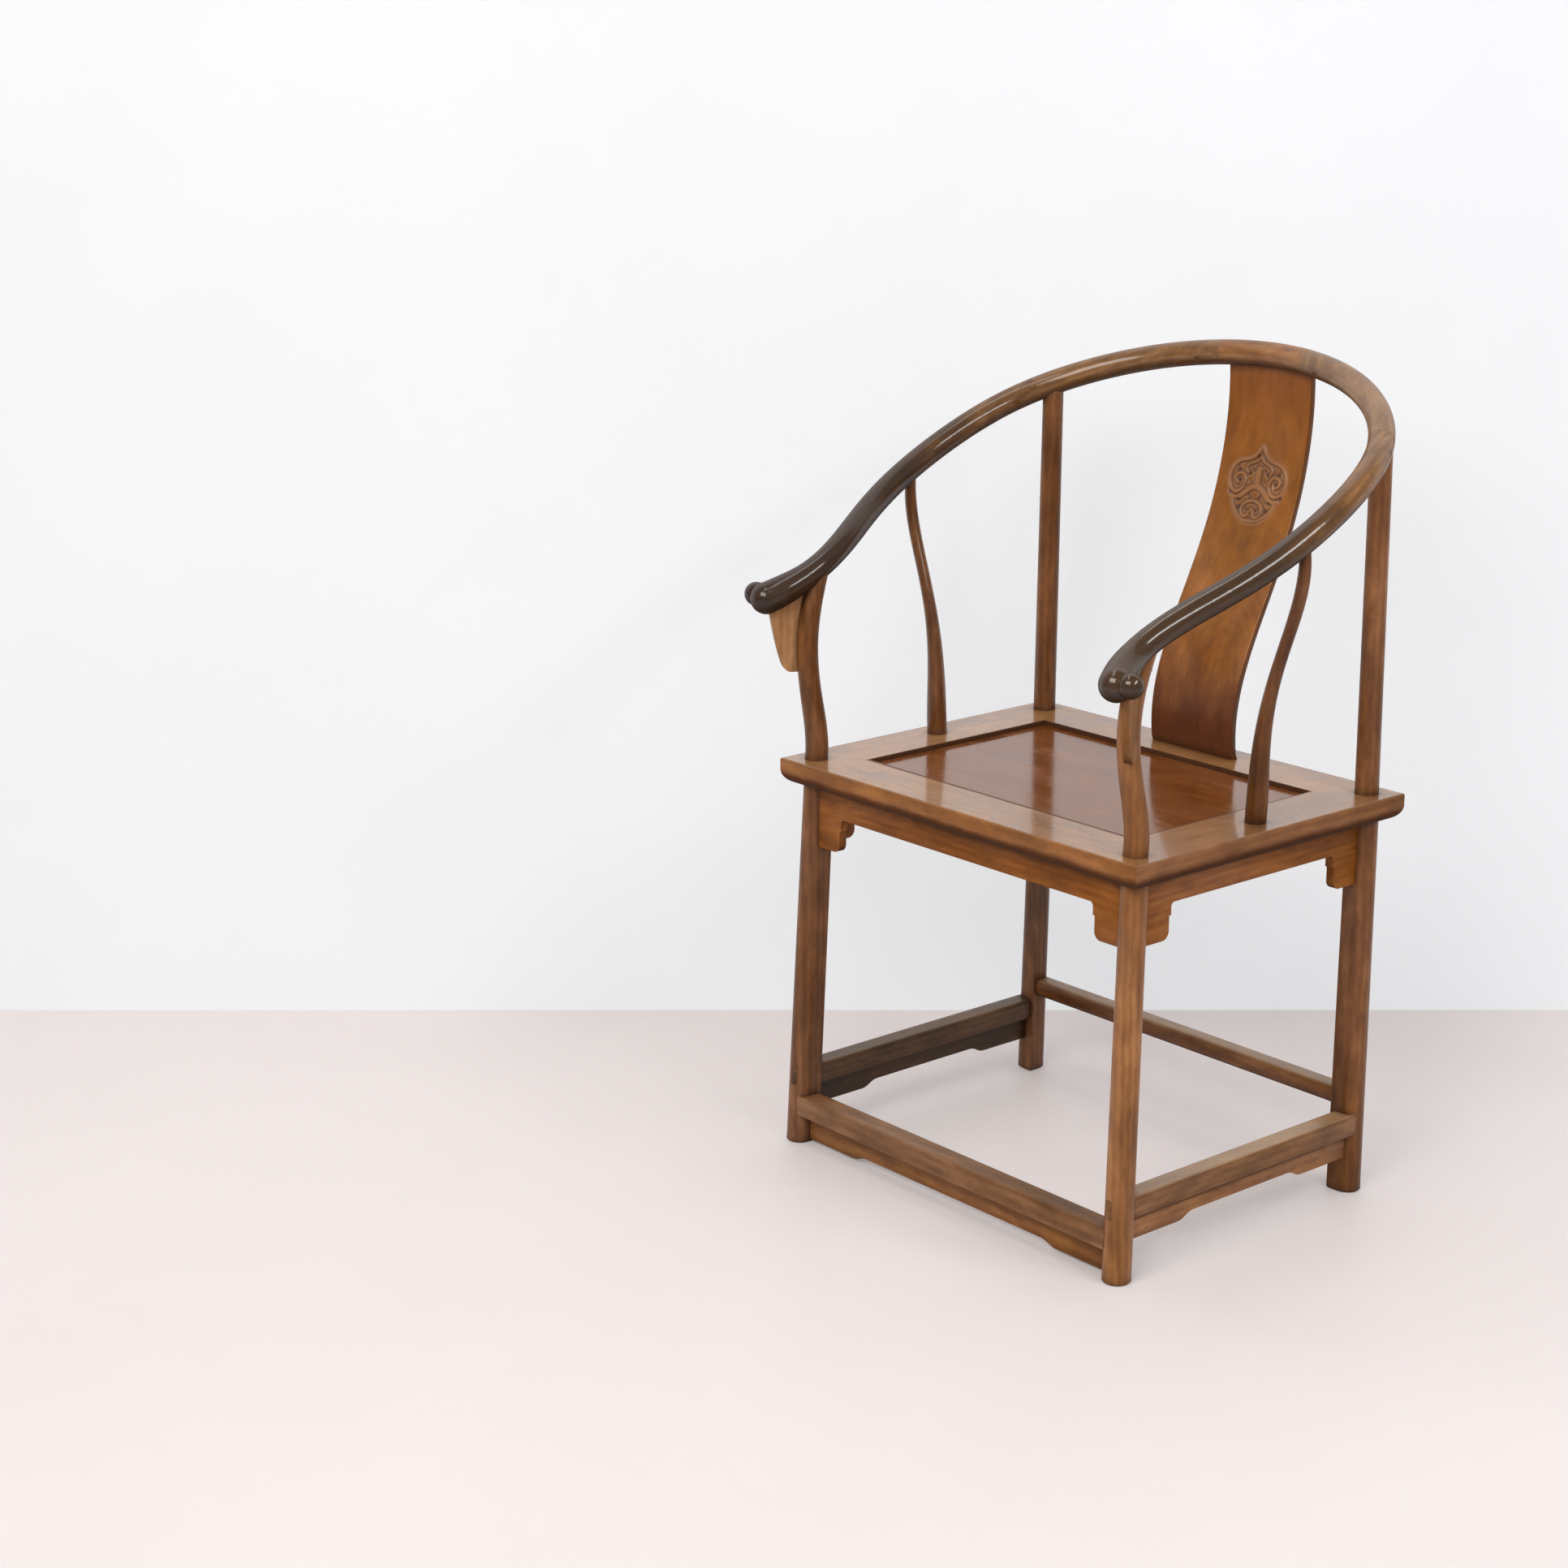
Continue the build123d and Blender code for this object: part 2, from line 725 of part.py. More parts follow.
def member_section(plane, outer):
    # x runs outwards from the seat's middle, y up from the frame's underside
    inner = outer - frame_member
    groove_top = frame_thick - panel_drop - panel_rebate + fit
    groove_under = frame_thick - panel_drop - panel_rebate - panel_tongue - fit
    with BuildSketch(plane) as section:
        with BuildLine():
            Line((inner, 0), (outer - edge_round, 0))
            RadiusArc((outer - edge_round, 0), (outer, edge_round), -edge_round)
            Polyline(
                (outer, edge_round),
                (outer, frame_thick - frame_arris),
                (outer - frame_arris, frame_thick),
                (inner, frame_thick),
                (inner, groove_top),
                (inner + panel_groove, groove_top),
                (inner + panel_groove, groove_under),
                (inner, groove_under),
                (inner, 0),
            )
        make_face()
    return section.sketch


def leg_hole(y):
    with Locations((leg_x, y, frame_under), (-leg_x, y, frame_under)):
        Cylinder(neck_d / 2 + fit, frame_thick, align=UP, mode=Mode.SUBTRACT)


def mitre_tenon(facing):
    # the tenon at the right-hand end of the front (-1) or back (+1) member
    near = seat_y + facing * (half_depth - corner_tenon_inset)
    far = near - facing * corner_tenon_wide
    low = (inner_half_width, min(near, far), frame_under + corner_tenon_lift)
    high = (
        half_width - corner_tenon_end,
        max(near, far),
        frame_under + corner_tenon_lift + corner_tenon_thick,
    )
    return low, high


def long_apron_tongue(front_face):
    # along the front or back apron, between the legs
    middle = front_face + apron_thick / 2
    return (
        (-apron_tongue_end_x, middle - apron_tongue_thick / 2, frame_under),
        (apron_tongue_end_x, middle + apron_tongue_thick / 2, frame_under + apron_tongue),
    )


def batten_tenon(x):
    # from end to end of a batten
    middle = panel_under - batten_thick / 2
    reach = inner_half_depth + batten_tenon_long
    return (
        (x - batten_tenon_wide / 2, seat_y - reach, middle - batten_tenon_thick / 2),
        (x + batten_tenon_wide / 2, seat_y + reach, middle + batten_tenon_thick / 2),
    )


apron_tongue_end_x = leg_x - leg_top_d / 2
side_tongue = (
    (
        apron_side - apron_thick / 2 - apron_tongue_thick / 2,
        front_leg_y + leg_top_d / 2,
        frame_under,
    ),
    (
        apron_side - apron_thick / 2 + apron_tongue_thick / 2,
        rear_leg_y - leg_top_d / 2,
        frame_under + apron_tongue,
    ),
)


def long_member(facing, front_face):
    # the front (-1) or back (+1) member, lying along X
    plane = Plane(origin=(0, seat_y, frame_under), x_dir=(0, facing, 0), z_dir=(facing, 0, 0))
    extrude(member_section(plane, half_depth), amount=half_width, both=True)
    for side in (-1, 1):
        corner = (side * half_width, seat_y + facing * half_depth, 0)
        split(bisect_by=Plane(origin=corner, z_dir=(-side, facing, 0)), keep=Keep.TOP)
    both_sides(mitre_tenon(facing))
    leg_hole(front_leg_y if facing < 0 else rear_leg_y)
    box_between(*grown(long_apron_tongue(front_face)), Mode.SUBTRACT)
    for x in (-batten_gap / 2, batten_gap / 2):
        low, high = grown(batten_tenon(x))
        low = (low[0], low[1] - tenon_end, low[2])
        high = (high[0], high[1] + tenon_end, high[2])
        box_between(low, high, Mode.SUBTRACT)


with BuildPart() as seat_rail_front:
    long_member(-1, apron_front)
write(seat_rail_front.part, "seat_rail_front")

with BuildPart() as seat_rail_back:
    long_member(1, apron_rear - apron_thick)
    low, high = grown(splat_tenon)
    box_between((low[0], low[1], low[2] - tenon_end), high, Mode.SUBTRACT)
write(seat_rail_back.part, "seat_rail_back")

with BuildPart() as seat_rail_side:
    side_plane = Plane(origin=(0, seat_y, frame_under), x_dir=(1, 0, 0), z_dir=(0, -1, 0))
    extrude(member_section(side_plane, half_width), amount=half_depth, both=True)
    for facing in (-1, 1):
        corner = (half_width, seat_y + facing * half_depth, 0)
        split(bisect_by=Plane(origin=corner, z_dir=(1, -facing, 0)), keep=Keep.TOP)
        low, high = grown(mitre_tenon(facing))
        box_between(low, (high[0] + tenon_end, high[1], high[2]), Mode.SUBTRACT)
    leg_hole(front_leg_y)
    leg_hole(rear_leg_y)
    box_between(*grown(side_tongue), Mode.SUBTRACT)
    with Locations((side_post_foot_x, side_post_y, seat_height)):
        Cylinder(
            side_foot_tenon_d / 2 + fit, side_foot_tenon_long + tenon_end,
            align=DOWN, mode=Mode.SUBTRACT,
        )
write_pair(seat_rail_side.part, "seat_rail")


# The seat panel floats in the frame's groove. Two dovetailed battens underneath keep it flat.
def dovetail(x, grow):
    # key on a batten's back, or its groove in the panel
    with BuildSketch(Plane.XZ.offset(-seat_y)) as key:
        with BuildLine():
            Polyline(
                (x - dovetail_wide / 2 - grow, panel_under - grow),
                (x + dovetail_wide / 2 + grow, panel_under - grow),
                (x + dovetail_wide / 2 + dovetail_lean + grow, panel_under + dovetail_deep + grow),
                (x - dovetail_wide / 2 - dovetail_lean - grow, panel_under + dovetail_deep + grow),
                close=True,
            )
        make_face()
    return key.sketch


with BuildPart() as seat_panel:
    reach_x = inner_half_width + panel_groove - panel_play
    reach_y = inner_half_depth + panel_groove - panel_play
    box_between(
        (-reach_x, seat_y - reach_y, panel_top - panel_rebate - panel_tongue),
        (reach_x, seat_y + reach_y, panel_top - panel_rebate),
    )
    box_between(
        (panel_play - inner_half_width, seat_y - inner_half_depth + panel_play, panel_under),
        (inner_half_width - panel_play, seat_y + inner_half_depth - panel_play, panel_top),
    )
    for x in (-batten_gap / 2, batten_gap / 2):
        extrude(dovetail(x, fit), amount=inner_half_depth, both=True, mode=Mode.SUBTRACT)
write(seat_panel.part, "seat_panel")

with BuildPart() as batten:
    box_between(
        (batten_gap / 2 - batten_wide / 2, seat_y - inner_half_depth, panel_under - batten_thick),
        (batten_gap / 2 + batten_wide / 2, seat_y + inner_half_depth, panel_under),
    )
    extrude(dovetail(batten_gap / 2, 0), amount=inner_half_depth, both=True)
    box_between(*batten_tenon(batten_gap / 2))
write_pair(batten.part, "panel_batten")

# ---------------------------------------------------------------- aprons under the seat


def apron_outline(plane, low_end, high_end, low_leg, high_leg, reach):
    # one board with its two spandrels; x along the board, y up
    with BuildSketch(plane) as outline:
        with BuildLine():
            for end, leg, side in ((low_end, low_leg, 1), (high_end, high_leg, -1)):
                upper = leg + side * reach
                lower = upper - side * spandrel_step
                step_z = frame_under - apron_drop - spandrel_step_drop
                Polyline(
                    (end, frame_under),
                    (end, spandrel_foot),
                    (lower - side * spandrel_round, spandrel_foot),
                )
                RadiusArc(
                    (lower - side * spandrel_round, spandrel_foot),
                    (lower, spandrel_foot + spandrel_round),
                    -side * spandrel_round,
                )
                Polyline(
                    (lower, spandrel_foot + spandrel_round),
                    (lower, step_z),
                    (upper, step_z),
                    (upper, frame_under - apron_drop - apron_fillet),
                )
                RadiusArc(
                    (upper, frame_under - apron_drop - apron_fillet),
                    (upper + side * apron_fillet, frame_under - apron_drop),
                    side * apron_fillet,
                )
            Line(
                (low_leg + reach + apron_fillet, frame_under - apron_drop),
                (high_leg - reach - apron_fillet, frame_under - apron_drop),
            )
            Line((low_end, frame_under), (high_end, frame_under))
        make_face()
    return outline.sketch


for name, front_face in (("apron_front", apron_front), ("apron_back", apron_rear - apron_thick)):
    with BuildPart() as apron:
        plane = Plane(origin=(0, front_face, 0), x_dir=(1, 0, 0), z_dir=(0, -1, 0))
        board = apron_outline(
            plane, -front_apron_end, front_apron_end, -leg_x, leg_x, spandrel_reach,
        )
        extrude(board, amount=-apron_thick)
        box_between(*long_apron_tongue(front_face))
    write(apron.part, name)

with BuildPart() as side_apron:
    plane = Plane(origin=(apron_side, 0, 0), x_dir=(0, 1, 0), z_dir=(1, 0, 0))
    board = apron_outline(
        plane, side_apron_front, side_apron_rear, front_leg_y, rear_leg_y, side_spandrel_reach,
    )
    extrude(board, amount=-apron_thick)
    box_between(*side_tongue)
write_pair(side_apron.part, "apron")

# ---------------------------------------------------------------- stretchers
with BuildPart() as front_leg_cope:
    lower_leg(front_leg_axis, 1, seat_fit)
    mirror(front_leg_cope.part, about=Plane.YZ)

with BuildPart() as rear_leg_cope:
    lower_leg(rear_leg_axis, -1, seat_fit)
    mirror(rear_leg_cope.part, about=Plane.YZ)

with BuildPart() as footrest:
    box_between(
        (-foot_leg_x, foot_leg_y - footrest_deep / 2, footrest_under),
        (foot_leg_x, foot_leg_y + footrest_deep / 2, footrest_top),
    )
    fillet(footrest.edges().filter_by(Axis.X).group_by(Axis.Z)[-1], footrest_round)
    add(front_leg_cope.part, mode=Mode.SUBTRACT)
    both_sides(foot_tenon)
write(footrest.part, "footrest")

with BuildPart() as rear_stretcher:
    box_between(
        (-rear_stretcher_x, rear_stretcher_y - rear_wide / 2, rear_top - rear_high),
        (rear_stretcher_x, rear_stretcher_y + rear_wide / 2, rear_top),
    )
    fillet(rear_stretcher.edges().filter_by(Axis.X), rear_round)
    add(rear_leg_cope.part, mode=Mode.SUBTRACT)
    both_sides(rear_tenon)
write(rear_stretcher.part, "rear_stretcher")

# Both ends of a side stretcher's tenon run right through the legs and are trimmed flush.
with BuildPart() as front_tenon_end:
    box_between(side_tenon[0], (side_tenon[1][0], side_leg_y, side_tenon[1][2]))
    add(front_leg_blank.part, mode=Mode.INTERSECT)

with BuildPart() as rear_tenon_end:
    box_between((side_tenon[0][0], side_rear_y, side_tenon[0][2]), side_tenon[1])
    add(rear_leg_blank.part, mode=Mode.INTERSECT)

with BuildPart() as side_stretcher:
    box_between(
        (side_x - side_wide / 2, side_leg_y, side_under),
        (side_x + side_wide / 2, side_rear_y, side_top),
    )
    fillet(side_stretcher.edges().filter_by(Axis.Y).group_by(Axis.Z)[-1], side_round)
    add(front_leg_cope.part, mode=Mode.SUBTRACT)
    add(rear_leg_cope.part, mode=Mode.SUBTRACT)
    box_between(
        (side_tenon[0][0], side_leg_y, side_tenon[0][2]),
        (side_tenon[1][0], side_rear_y, side_tenon[1][2]),
    )
    add(front_tenon_end.part)
    add(rear_tenon_end.part)
write_pair(side_stretcher.part, "side_stretcher")


def lower_apron(plane, low_end, high_end, low_leg, high_leg, end_length, under, rise, top):
    # board under a stretcher, its low ends rising to the middle by an S-shaped step
    with BuildSketch(plane) as outline:
        with BuildLine():
            Polyline((low_leg + end_length - ogee / 2, under), (low_end, under), (low_end, top))
            Polyline((high_leg - end_length + ogee / 2, under), (high_end, under), (high_end, top))
            Line((low_end, top), (high_end, top))
            Spline(
                (low_leg + end_length - ogee / 2, under),
                (low_leg + end_length + ogee / 2, under + rise),
                tangents=((1, 0), (1, 0)),
            )
            Spline(
                (high_leg - end_length - ogee / 2, under + rise),
                (high_leg - end_length + ogee / 2, under),
                tangents=((1, 0), (1, 0)),
            )
            Line(
                (low_leg + end_length + ogee / 2, under + rise),
                (high_leg - end_length - ogee / 2, under + rise),
            )
        make_face()
    extrude(outline.sketch, amount=lower_apron_thick / 2, both=True)


with BuildPart() as footrest_apron:
    lower_apron(
        Plane(origin=(0, foot_apron_y, 0), x_dir=(1, 0, 0), z_dir=(0, -1, 0)),
        -foot_apron_x, foot_apron_x, -foot_leg_x, foot_leg_x,
        foot_apron_end, foot_apron_gap, foot_apron_rise, footrest_under,
    )
write(footrest_apron.part, "footrest_apron")

with BuildPart() as side_stretcher_apron:
    lower_apron(
        Plane(origin=(side_x, 0, 0), x_dir=(0, 1, 0), z_dir=(1, 0, 0)),
        lower_side_front, lower_side_rear, side_leg_y, side_rear_y,
        side_apron_end, lower_side_low, side_apron_rise, side_under,
    )
write_pair(side_stretcher_apron.part, "side_stretcher_apron")
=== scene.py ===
import math
import bmesh
import bpy
import numpy as np
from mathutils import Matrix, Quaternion, Vector


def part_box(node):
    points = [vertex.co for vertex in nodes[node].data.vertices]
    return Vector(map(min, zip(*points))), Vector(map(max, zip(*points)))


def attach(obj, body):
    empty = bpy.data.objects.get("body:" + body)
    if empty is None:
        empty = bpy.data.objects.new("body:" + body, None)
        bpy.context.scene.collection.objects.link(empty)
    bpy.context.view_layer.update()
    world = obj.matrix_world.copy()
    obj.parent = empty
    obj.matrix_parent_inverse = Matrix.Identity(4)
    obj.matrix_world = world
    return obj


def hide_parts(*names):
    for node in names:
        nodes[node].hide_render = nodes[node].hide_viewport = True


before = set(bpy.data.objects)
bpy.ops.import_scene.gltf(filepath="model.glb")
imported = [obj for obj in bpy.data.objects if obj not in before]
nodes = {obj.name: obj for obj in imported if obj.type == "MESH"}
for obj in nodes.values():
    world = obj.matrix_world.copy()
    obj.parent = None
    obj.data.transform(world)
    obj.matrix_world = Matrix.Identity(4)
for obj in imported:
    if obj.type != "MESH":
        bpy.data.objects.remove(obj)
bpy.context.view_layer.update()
print("frame loaded:", len(nodes), "pieces of joinery")


def tone(red, green, blue):
    # an sRGB colour from 0 to 255, as the linear colour that a socket takes
    def linear(value):
        value /= 255
        return value / 12.92 if value <= 0.04045 else ((value + 0.055) / 1.055) ** 2.4
    return (linear(red), linear(green), linear(blue), 1)


def darker(colour, share):
    # a share above 1 makes it paler
    return tuple(c * share for c in colour[:3]) + (1,)


def newMaterial(name):
    material = bpy.data.materials.new(name)
    material.use_nodes = True
    material.node_tree.nodes.clear()
    return material


def addNode(tree, kind, inputs=None, **settings):
    # a socket's value is either another node's output, which is wired to it, or plain
    node = tree.nodes.new("ShaderNode" + kind)
    for key, value in settings.items():
        setattr(node, key, value)
    for key, value in (inputs or {}).items():
        if isinstance(value, bpy.types.NodeSocket):
            tree.links.new(value, node.inputs[key])
        else:
            node.inputs[key].default_value = value
    return node


def maths(tree, operation, first, second=0.0, third=0.0, clamp=False):
    inputs = {0: first, 1: second, 2: third}
    return addNode(tree, "Math", inputs, operation=operation, use_clamp=clamp).outputs[0]


def blendTones(tree, factor, first, second):
    node = addNode(tree, "Mix", {0: factor, 6: first, 7: second}, data_type="RGBA")
    return node.outputs[2]


def remap(tree, value, low, high, newLow=0.0, newHigh=1.0, smooth=False):
    return addNode(tree, "MapRange", {
        "Value": value, "From Min": low, "From Max": high, "To Min": newLow, "To Max": newHigh,
    }, interpolation_type="SMOOTHSTEP" if smooth else "LINEAR").outputs[0]


def noise(tree, vector, scale, detail, roughness):
    return addNode(tree, "TexNoise", {
        "Vector": vector, "Scale": scale, "Detail": detail, "Roughness": roughness,
    }).outputs


def deselectAll():
    for other in list(bpy.context.selected_objects):
        other.select_set(False)


def activate(piece):
    deselectAll()
    piece.select_set(True)
    bpy.context.view_layer.objects.active = piece


# the room: a pale floor and a pale wall close behind; glow is the share of their paleness
# that no shadow takes away
room = {
    "squares": 8,
    "floorSide": 14,
    "floor": {"tone": (236, 228, 227), "roughness": 0.42, "glow": 0.2, "oneSided": False},
    "wallSize": (14, 4),
    "wallDistance": 4.02,      # from the camera, along the floor
    "wall": {"tone": (246, 248, 251), "roughness": 0.6, "glow": 0.55, "oneSided": True},
    "cloud": {"scale": 1.7, "detail": 4.0, "roughness": 0.6},
    "cloudLevels": (0.95, 1.03),
    "shine": 0.3,
    "worldTone": (1, 0.985, 0.97, 1),
    "worldLevel": 0.33,
}

view = {
    "place": (2.4168, -2.5307, 1.4499),
    "pitch": 74.504,
    "turn": 49.894,
    "lens": 68.43,
    "sensor": 36,
}

lamps = {
    "keyLamp": {
        "place": (0.9, -3.1, 3.0), "target": (0, 0, 0.5), "size": (2.4, 1.6),
        "power": 88, "colour": (1, 0.975, 0.94), "roll": 0.0},
    "topLamp": {
        "place": (-0.4, -0.2, 3.1), "target": (0, 0, 0), "size": (2.6, 0.4),
        "power": 12, "colour": (1, 0.985, 0.96), "roll": 0.0},
    "windowLamp": {
        "place": (2.2, 0.05, 2.2), "target": (0.305, -0.08, 0.8), "size": (1.7, 0.42),
        "power": 27, "colour": (1, 1, 1), "roll": 30.5},
}


def stageMaterial(name, look):
    material = newMaterial(name)
    tree = material.node_tree
    coords = addNode(tree, "TexCoord").outputs["Object"]
    cloud = noise(tree, coords, **room["cloud"])["Fac"]
    shades = blendTones(
        tree, cloud, *(darker(tone(*look["tone"]), level) for level in room["cloudLevels"]))
    shader = addNode(tree, "BsdfPrincipled", {
        "Base Color": shades, "Roughness": look["roughness"], "Specular IOR Level": room["shine"],
    }).outputs[0]
    rays = addNode(tree, "LightPath").outputs
    seen = maths(tree, "MAXIMUM", rays["Is Camera Ray"], rays["Is Glossy Ray"])
    seen = maths(tree, "MAXIMUM", seen, rays["Is Transmission Ray"])
    plain = addNode(tree, "Emission", {"Color": shades}).outputs[0]
    glow = maths(tree, "MULTIPLY", seen, look["glow"])
    surface = addNode(tree, "MixShader", {0: glow, 1: shader, 2: plain}).outputs[0]
    if look["oneSided"]:
        back = addNode(tree, "NewGeometry").outputs["Backfacing"]
        clear = addNode(tree, "BsdfTransparent").outputs[0]
        surface = addNode(tree, "MixShader", {0: back, 1: surface, 2: clear}).outputs[0]
    addNode(tree, "OutputMaterial", {"Surface": surface})
    return material


def makeRoom():
    squares = {"x_subdivisions": room["squares"], "y_subdivisions": room["squares"]}
    deselectAll()
    bpy.ops.mesh.primitive_grid_add(size=room["floorSide"], **squares)
    floor = bpy.context.object
    floor.name = "studioFloor"
    floor.data.materials.append(stageMaterial("paleFloor", room["floor"]))

    turn = math.radians(view["turn"])
    ahead = Vector((-math.sin(turn), math.cos(turn), 0))
    foot = Vector(view["place"]) + ahead * room["wallDistance"]
    wide, tall = room["wallSize"]
    deselectAll()
    bpy.ops.mesh.primitive_grid_add(
        size=1, location=(foot.x, foot.y, tall / 2), rotation=(math.radians(90), 0, turn),
        **squares,
    )
    wall = bpy.context.object
    wall.name = "studioWall"
    wall.scale = (wide, tall, 1)
    bpy.ops.object.transform_apply(location=True, rotation=True, scale=True)
    wall.data.materials.append(stageMaterial("paleWall", room["wall"]))


def addLamp(name, place, target, size, power, colour, roll):
    data = bpy.data.lights.new(name, "AREA")
    data.shape = "RECTANGLE"
    data.size, data.size_y = size
    data.energy = power
    data.color = colour
    lamp = bpy.data.objects.new(name, data)
    bpy.context.scene.collection.objects.link(lamp)
    lamp.location = place
    lamp.visible_camera = False
    aim = (Vector(target) - Vector(place)).to_track_quat("-Z", "Y")
    lamp.rotation_euler = (aim @ Quaternion((0, 0, 1), math.radians(roll))).to_euler()


def makeLight():
    world = bpy.data.worlds.new("paleRoom")
    bpy.context.scene.world = world
    world.use_nodes = True
    tree = world.node_tree
    tree.nodes.clear()
    white = addNode(tree, "Background", {
        "Color": room["worldTone"], "Strength": room["worldLevel"],
    })
    addNode(tree, "OutputWorld", {"Surface": white.outputs[0]})
    for name, lamp in lamps.items():
        addLamp(name, **lamp)


def makeCamera():
    data = bpy.data.cameras.new("viewCamera")
    camera = bpy.data.objects.new("viewCamera", data)
    bpy.context.scene.collection.objects.link(camera)
    data.lens = view["lens"]
    data.sensor_width = view["sensor"]
    data.sensor_fit = "HORIZONTAL"
    camera.location = view["place"]
    camera.rotation_euler = (math.radians(view["pitch"]), 0, math.radians(view["turn"]))
    bpy.context.scene.camera = camera


bpy.context.scene.view_settings.view_transform = "Standard"
makeRoom()
makeLight()
makeCamera()
print("room, lamps and camera are set")


# the timber: its deep, body and pale tones for each kind of member
woods = {
    "rail": {"deep": (78, 48, 22), "body": (120, 80, 38), "pale": (158, 112, 62)},
    "crest": {"deep": (84, 48, 18), "body": (126, 78, 30), "pale": (158, 108, 52)},
    "shoulder": {"deep": (88, 58, 32), "body": (130, 92, 56), "pale": (160, 122, 80)},
    "leg": {"deep": (96, 56, 22), "body": (140, 90, 46), "pale": (172, 119, 68)},
    "rearLeg": {"deep": (72, 38, 14), "body": (109, 64, 27), "pale": (142, 92, 46)},
    # painted shade: a darker copy of the legs' tones, for the legs on the chair's left side
    "shadedLeg": {"deep": (66, 36, 16), "body": (108, 66, 33), "pale": (142, 92, 52)},
    "post": {"deep": (66, 35, 13), "body": (98, 56, 21), "pale": (124, 78, 36)},
    "splat": {"deep": (126, 72, 19), "body": (146, 87, 26), "pale": (162, 102, 36)},
    "frame": {"deep": (104, 60, 22), "body": (140, 86, 36), "pale": (168, 112, 54)},
    # painted shade: a darker copy of the frame's tones, for the right side rail
    "shadedSideFrame": {"deep": (90, 50, 18), "body": (122, 73, 30), "pale": (150, 100, 48)},
    "panel": {"deep": (92, 46, 15), "body": (114, 62, 22), "pale": (132, 78, 31)},
    "apron": {"deep": (90, 46, 10), "body": (129, 73, 20), "pale": (158, 98, 36)},
    "stretcher": {"deep": (84, 50, 24), "body": (124, 82, 46), "pale": (154, 110, 70)},
    # painted shade: darker copies of the stretcher's and apron's tones, for the chair's left side
    "shadedStretcher": {"deep": (52, 30, 14), "body": (76, 50, 28), "pale": (100, 70, 42)},
    "shadedApron": {"deep": (40, 22, 10), "body": (62, 38, 18), "pale": (84, 54, 28)},
    "bracket": {"deep": (130, 88, 52), "body": (166, 120, 80), "pale": (190, 146, 102)},
}

# most of a noise texture's values lie in this range, round this mean
noiseRange = (0.3, 0.7)
noiseMean = 0.5

grain = {
    "flameStretch": 0.28,
    "flames": {"scale": 6.5, "detail": 2.5, "roughness": 0.45},
    "clouds": {"scale": 9.0, "detail": 3.0, "roughness": 0.55},
    "mottleStretch": 0.45,
    "mottle": {"scale": 24, "detail": 4.0, "roughness": 0.62},
    # growth rings: one is ringPitch wide, and at scale 1 the texture's own are waveWidth wide
    "ringPitch": 0.0085,
    "waveWidth": 0.314,
    "ringWobble": 2.6,
    "ringDetail": {"Detail": 3.0, "Detail Scale": 0.5, "Detail Roughness": 0.7},
    # long layers: their pitch across the grain, and how often a metre along it breaks them up
    "streaks": {"pitch": 0.0075, "breaks": 13, "detail": 3.0},
    "curls": {"pitch": 0.014, "breaks": 26, "detail": 3.0},
    "fibres": {"pitch": 0.0016, "breaks": 11, "detail": 3.0},
    "pores": {"pitch": 0.0007, "breaks": 48, "detail": 1.0},
    "longRoughness": 0.58,
    "poreRange": (0.60, 0.72),
    # each layer's share in the pattern, and the base that brings its mean to a half
    "shares": {"streaks": 0.15, "curls": 0.28, "mottle": 0.22, "fibres": 0.1},
    "shareRange": (0.25, 0.75),
    "base": 0.125,
    "stops": {"deep": 0.2, "pale": 0.8, "body": 0.5},
    "cloudLevels": (0.72, 1.30),
    "mottleLevels": (0.88, 1.14),
    "greyRange": (0.35, 0.7),
    "saturation": (1.04, 0.9),
    # the open surface: each layer's height, as a share of the depth in metres
    "depth": 0.00018,
    "heights": {"fibres": 0.5, "pores": -0.6, "streaks": 0.5},
}

# what the years did, and painted shade; a range runs from where an effect begins to where it is
# full
wearAndShade = {
    "topRange": (0.6, 0.95),       # how far a face's normal points up
    "rubbedTone": (196, 160, 118),
    "rubbedRange": (0.3, 0.65),
    "rubbedShares": (0.55, 1.15),
    "ragged": 0.2,                 # how uneven the edge of a stain or a band of painted shade is, as a share of its width
    "stainAndShadeRange": (0.2, 0.9),
    "stainAndShadeLevels": (0.72, 1.25),
    "underRange": (-0.1, -0.6),
    "underShadeShare": 0.75,
    "underDull": 0.35,
    "sideRange": (0.5, 0.8),
    "shadeLevel": 0.4,
    "edgeRound": 0.0013,
    "edgeSamples": 4,
    "edgeRange": (0.97, 0.80),
    "edgeBreaks": ((0.35, 0.6), (0.3, 1.0)),
    "edgeOpen": (0.8, 0.95),       # there is none in a corner
    "edgeLevel": 1.2,
    "cornerReach": 0.016,          # how far the grime and painted shade reach out of a corner
    "cornerSamples": 6,
    "grimeAndShadeRange": (0.86, 0.35),
    "grimeAndShade": 0.85,
    "grimeAndShadeLevel": 0.42,
    "grimeAndShadeRough": 0.45,
    "poreDark": 0.16,
    "poreLevel": 0.7,
    "poreRough": 0.12,
    "mottleRough": (-0.05, 0.08),
    "openRange": (0.75, 0.92),     # where a rounded arris shows
}

wax = {
    "roughness": 0.09,
    "tint": (1, 0.92, 0.82, 1),
    "rimBlend": 0.5,
    "rimRange": (0.5, 0.85),       # how far a round member has turned away
    "dullRange": (0.0, 0.4),
    "dullShare": 0.1,
}

# the carving's sunk ground, its rubbed ridges and its dark pits, each from and to a height in
# millimetres
carvedTones = (
    {"from": -0.03, "to": -0.4, "share": 0.55, "tone": (146, 104, 72)},
    {"from": 0.02, "to": 0.3, "share": 0.4, "tone": (166, 126, 92)},
    {"from": -0.5, "to": -1.7, "share": 0.9, "tone": (78, 46, 26)},
)

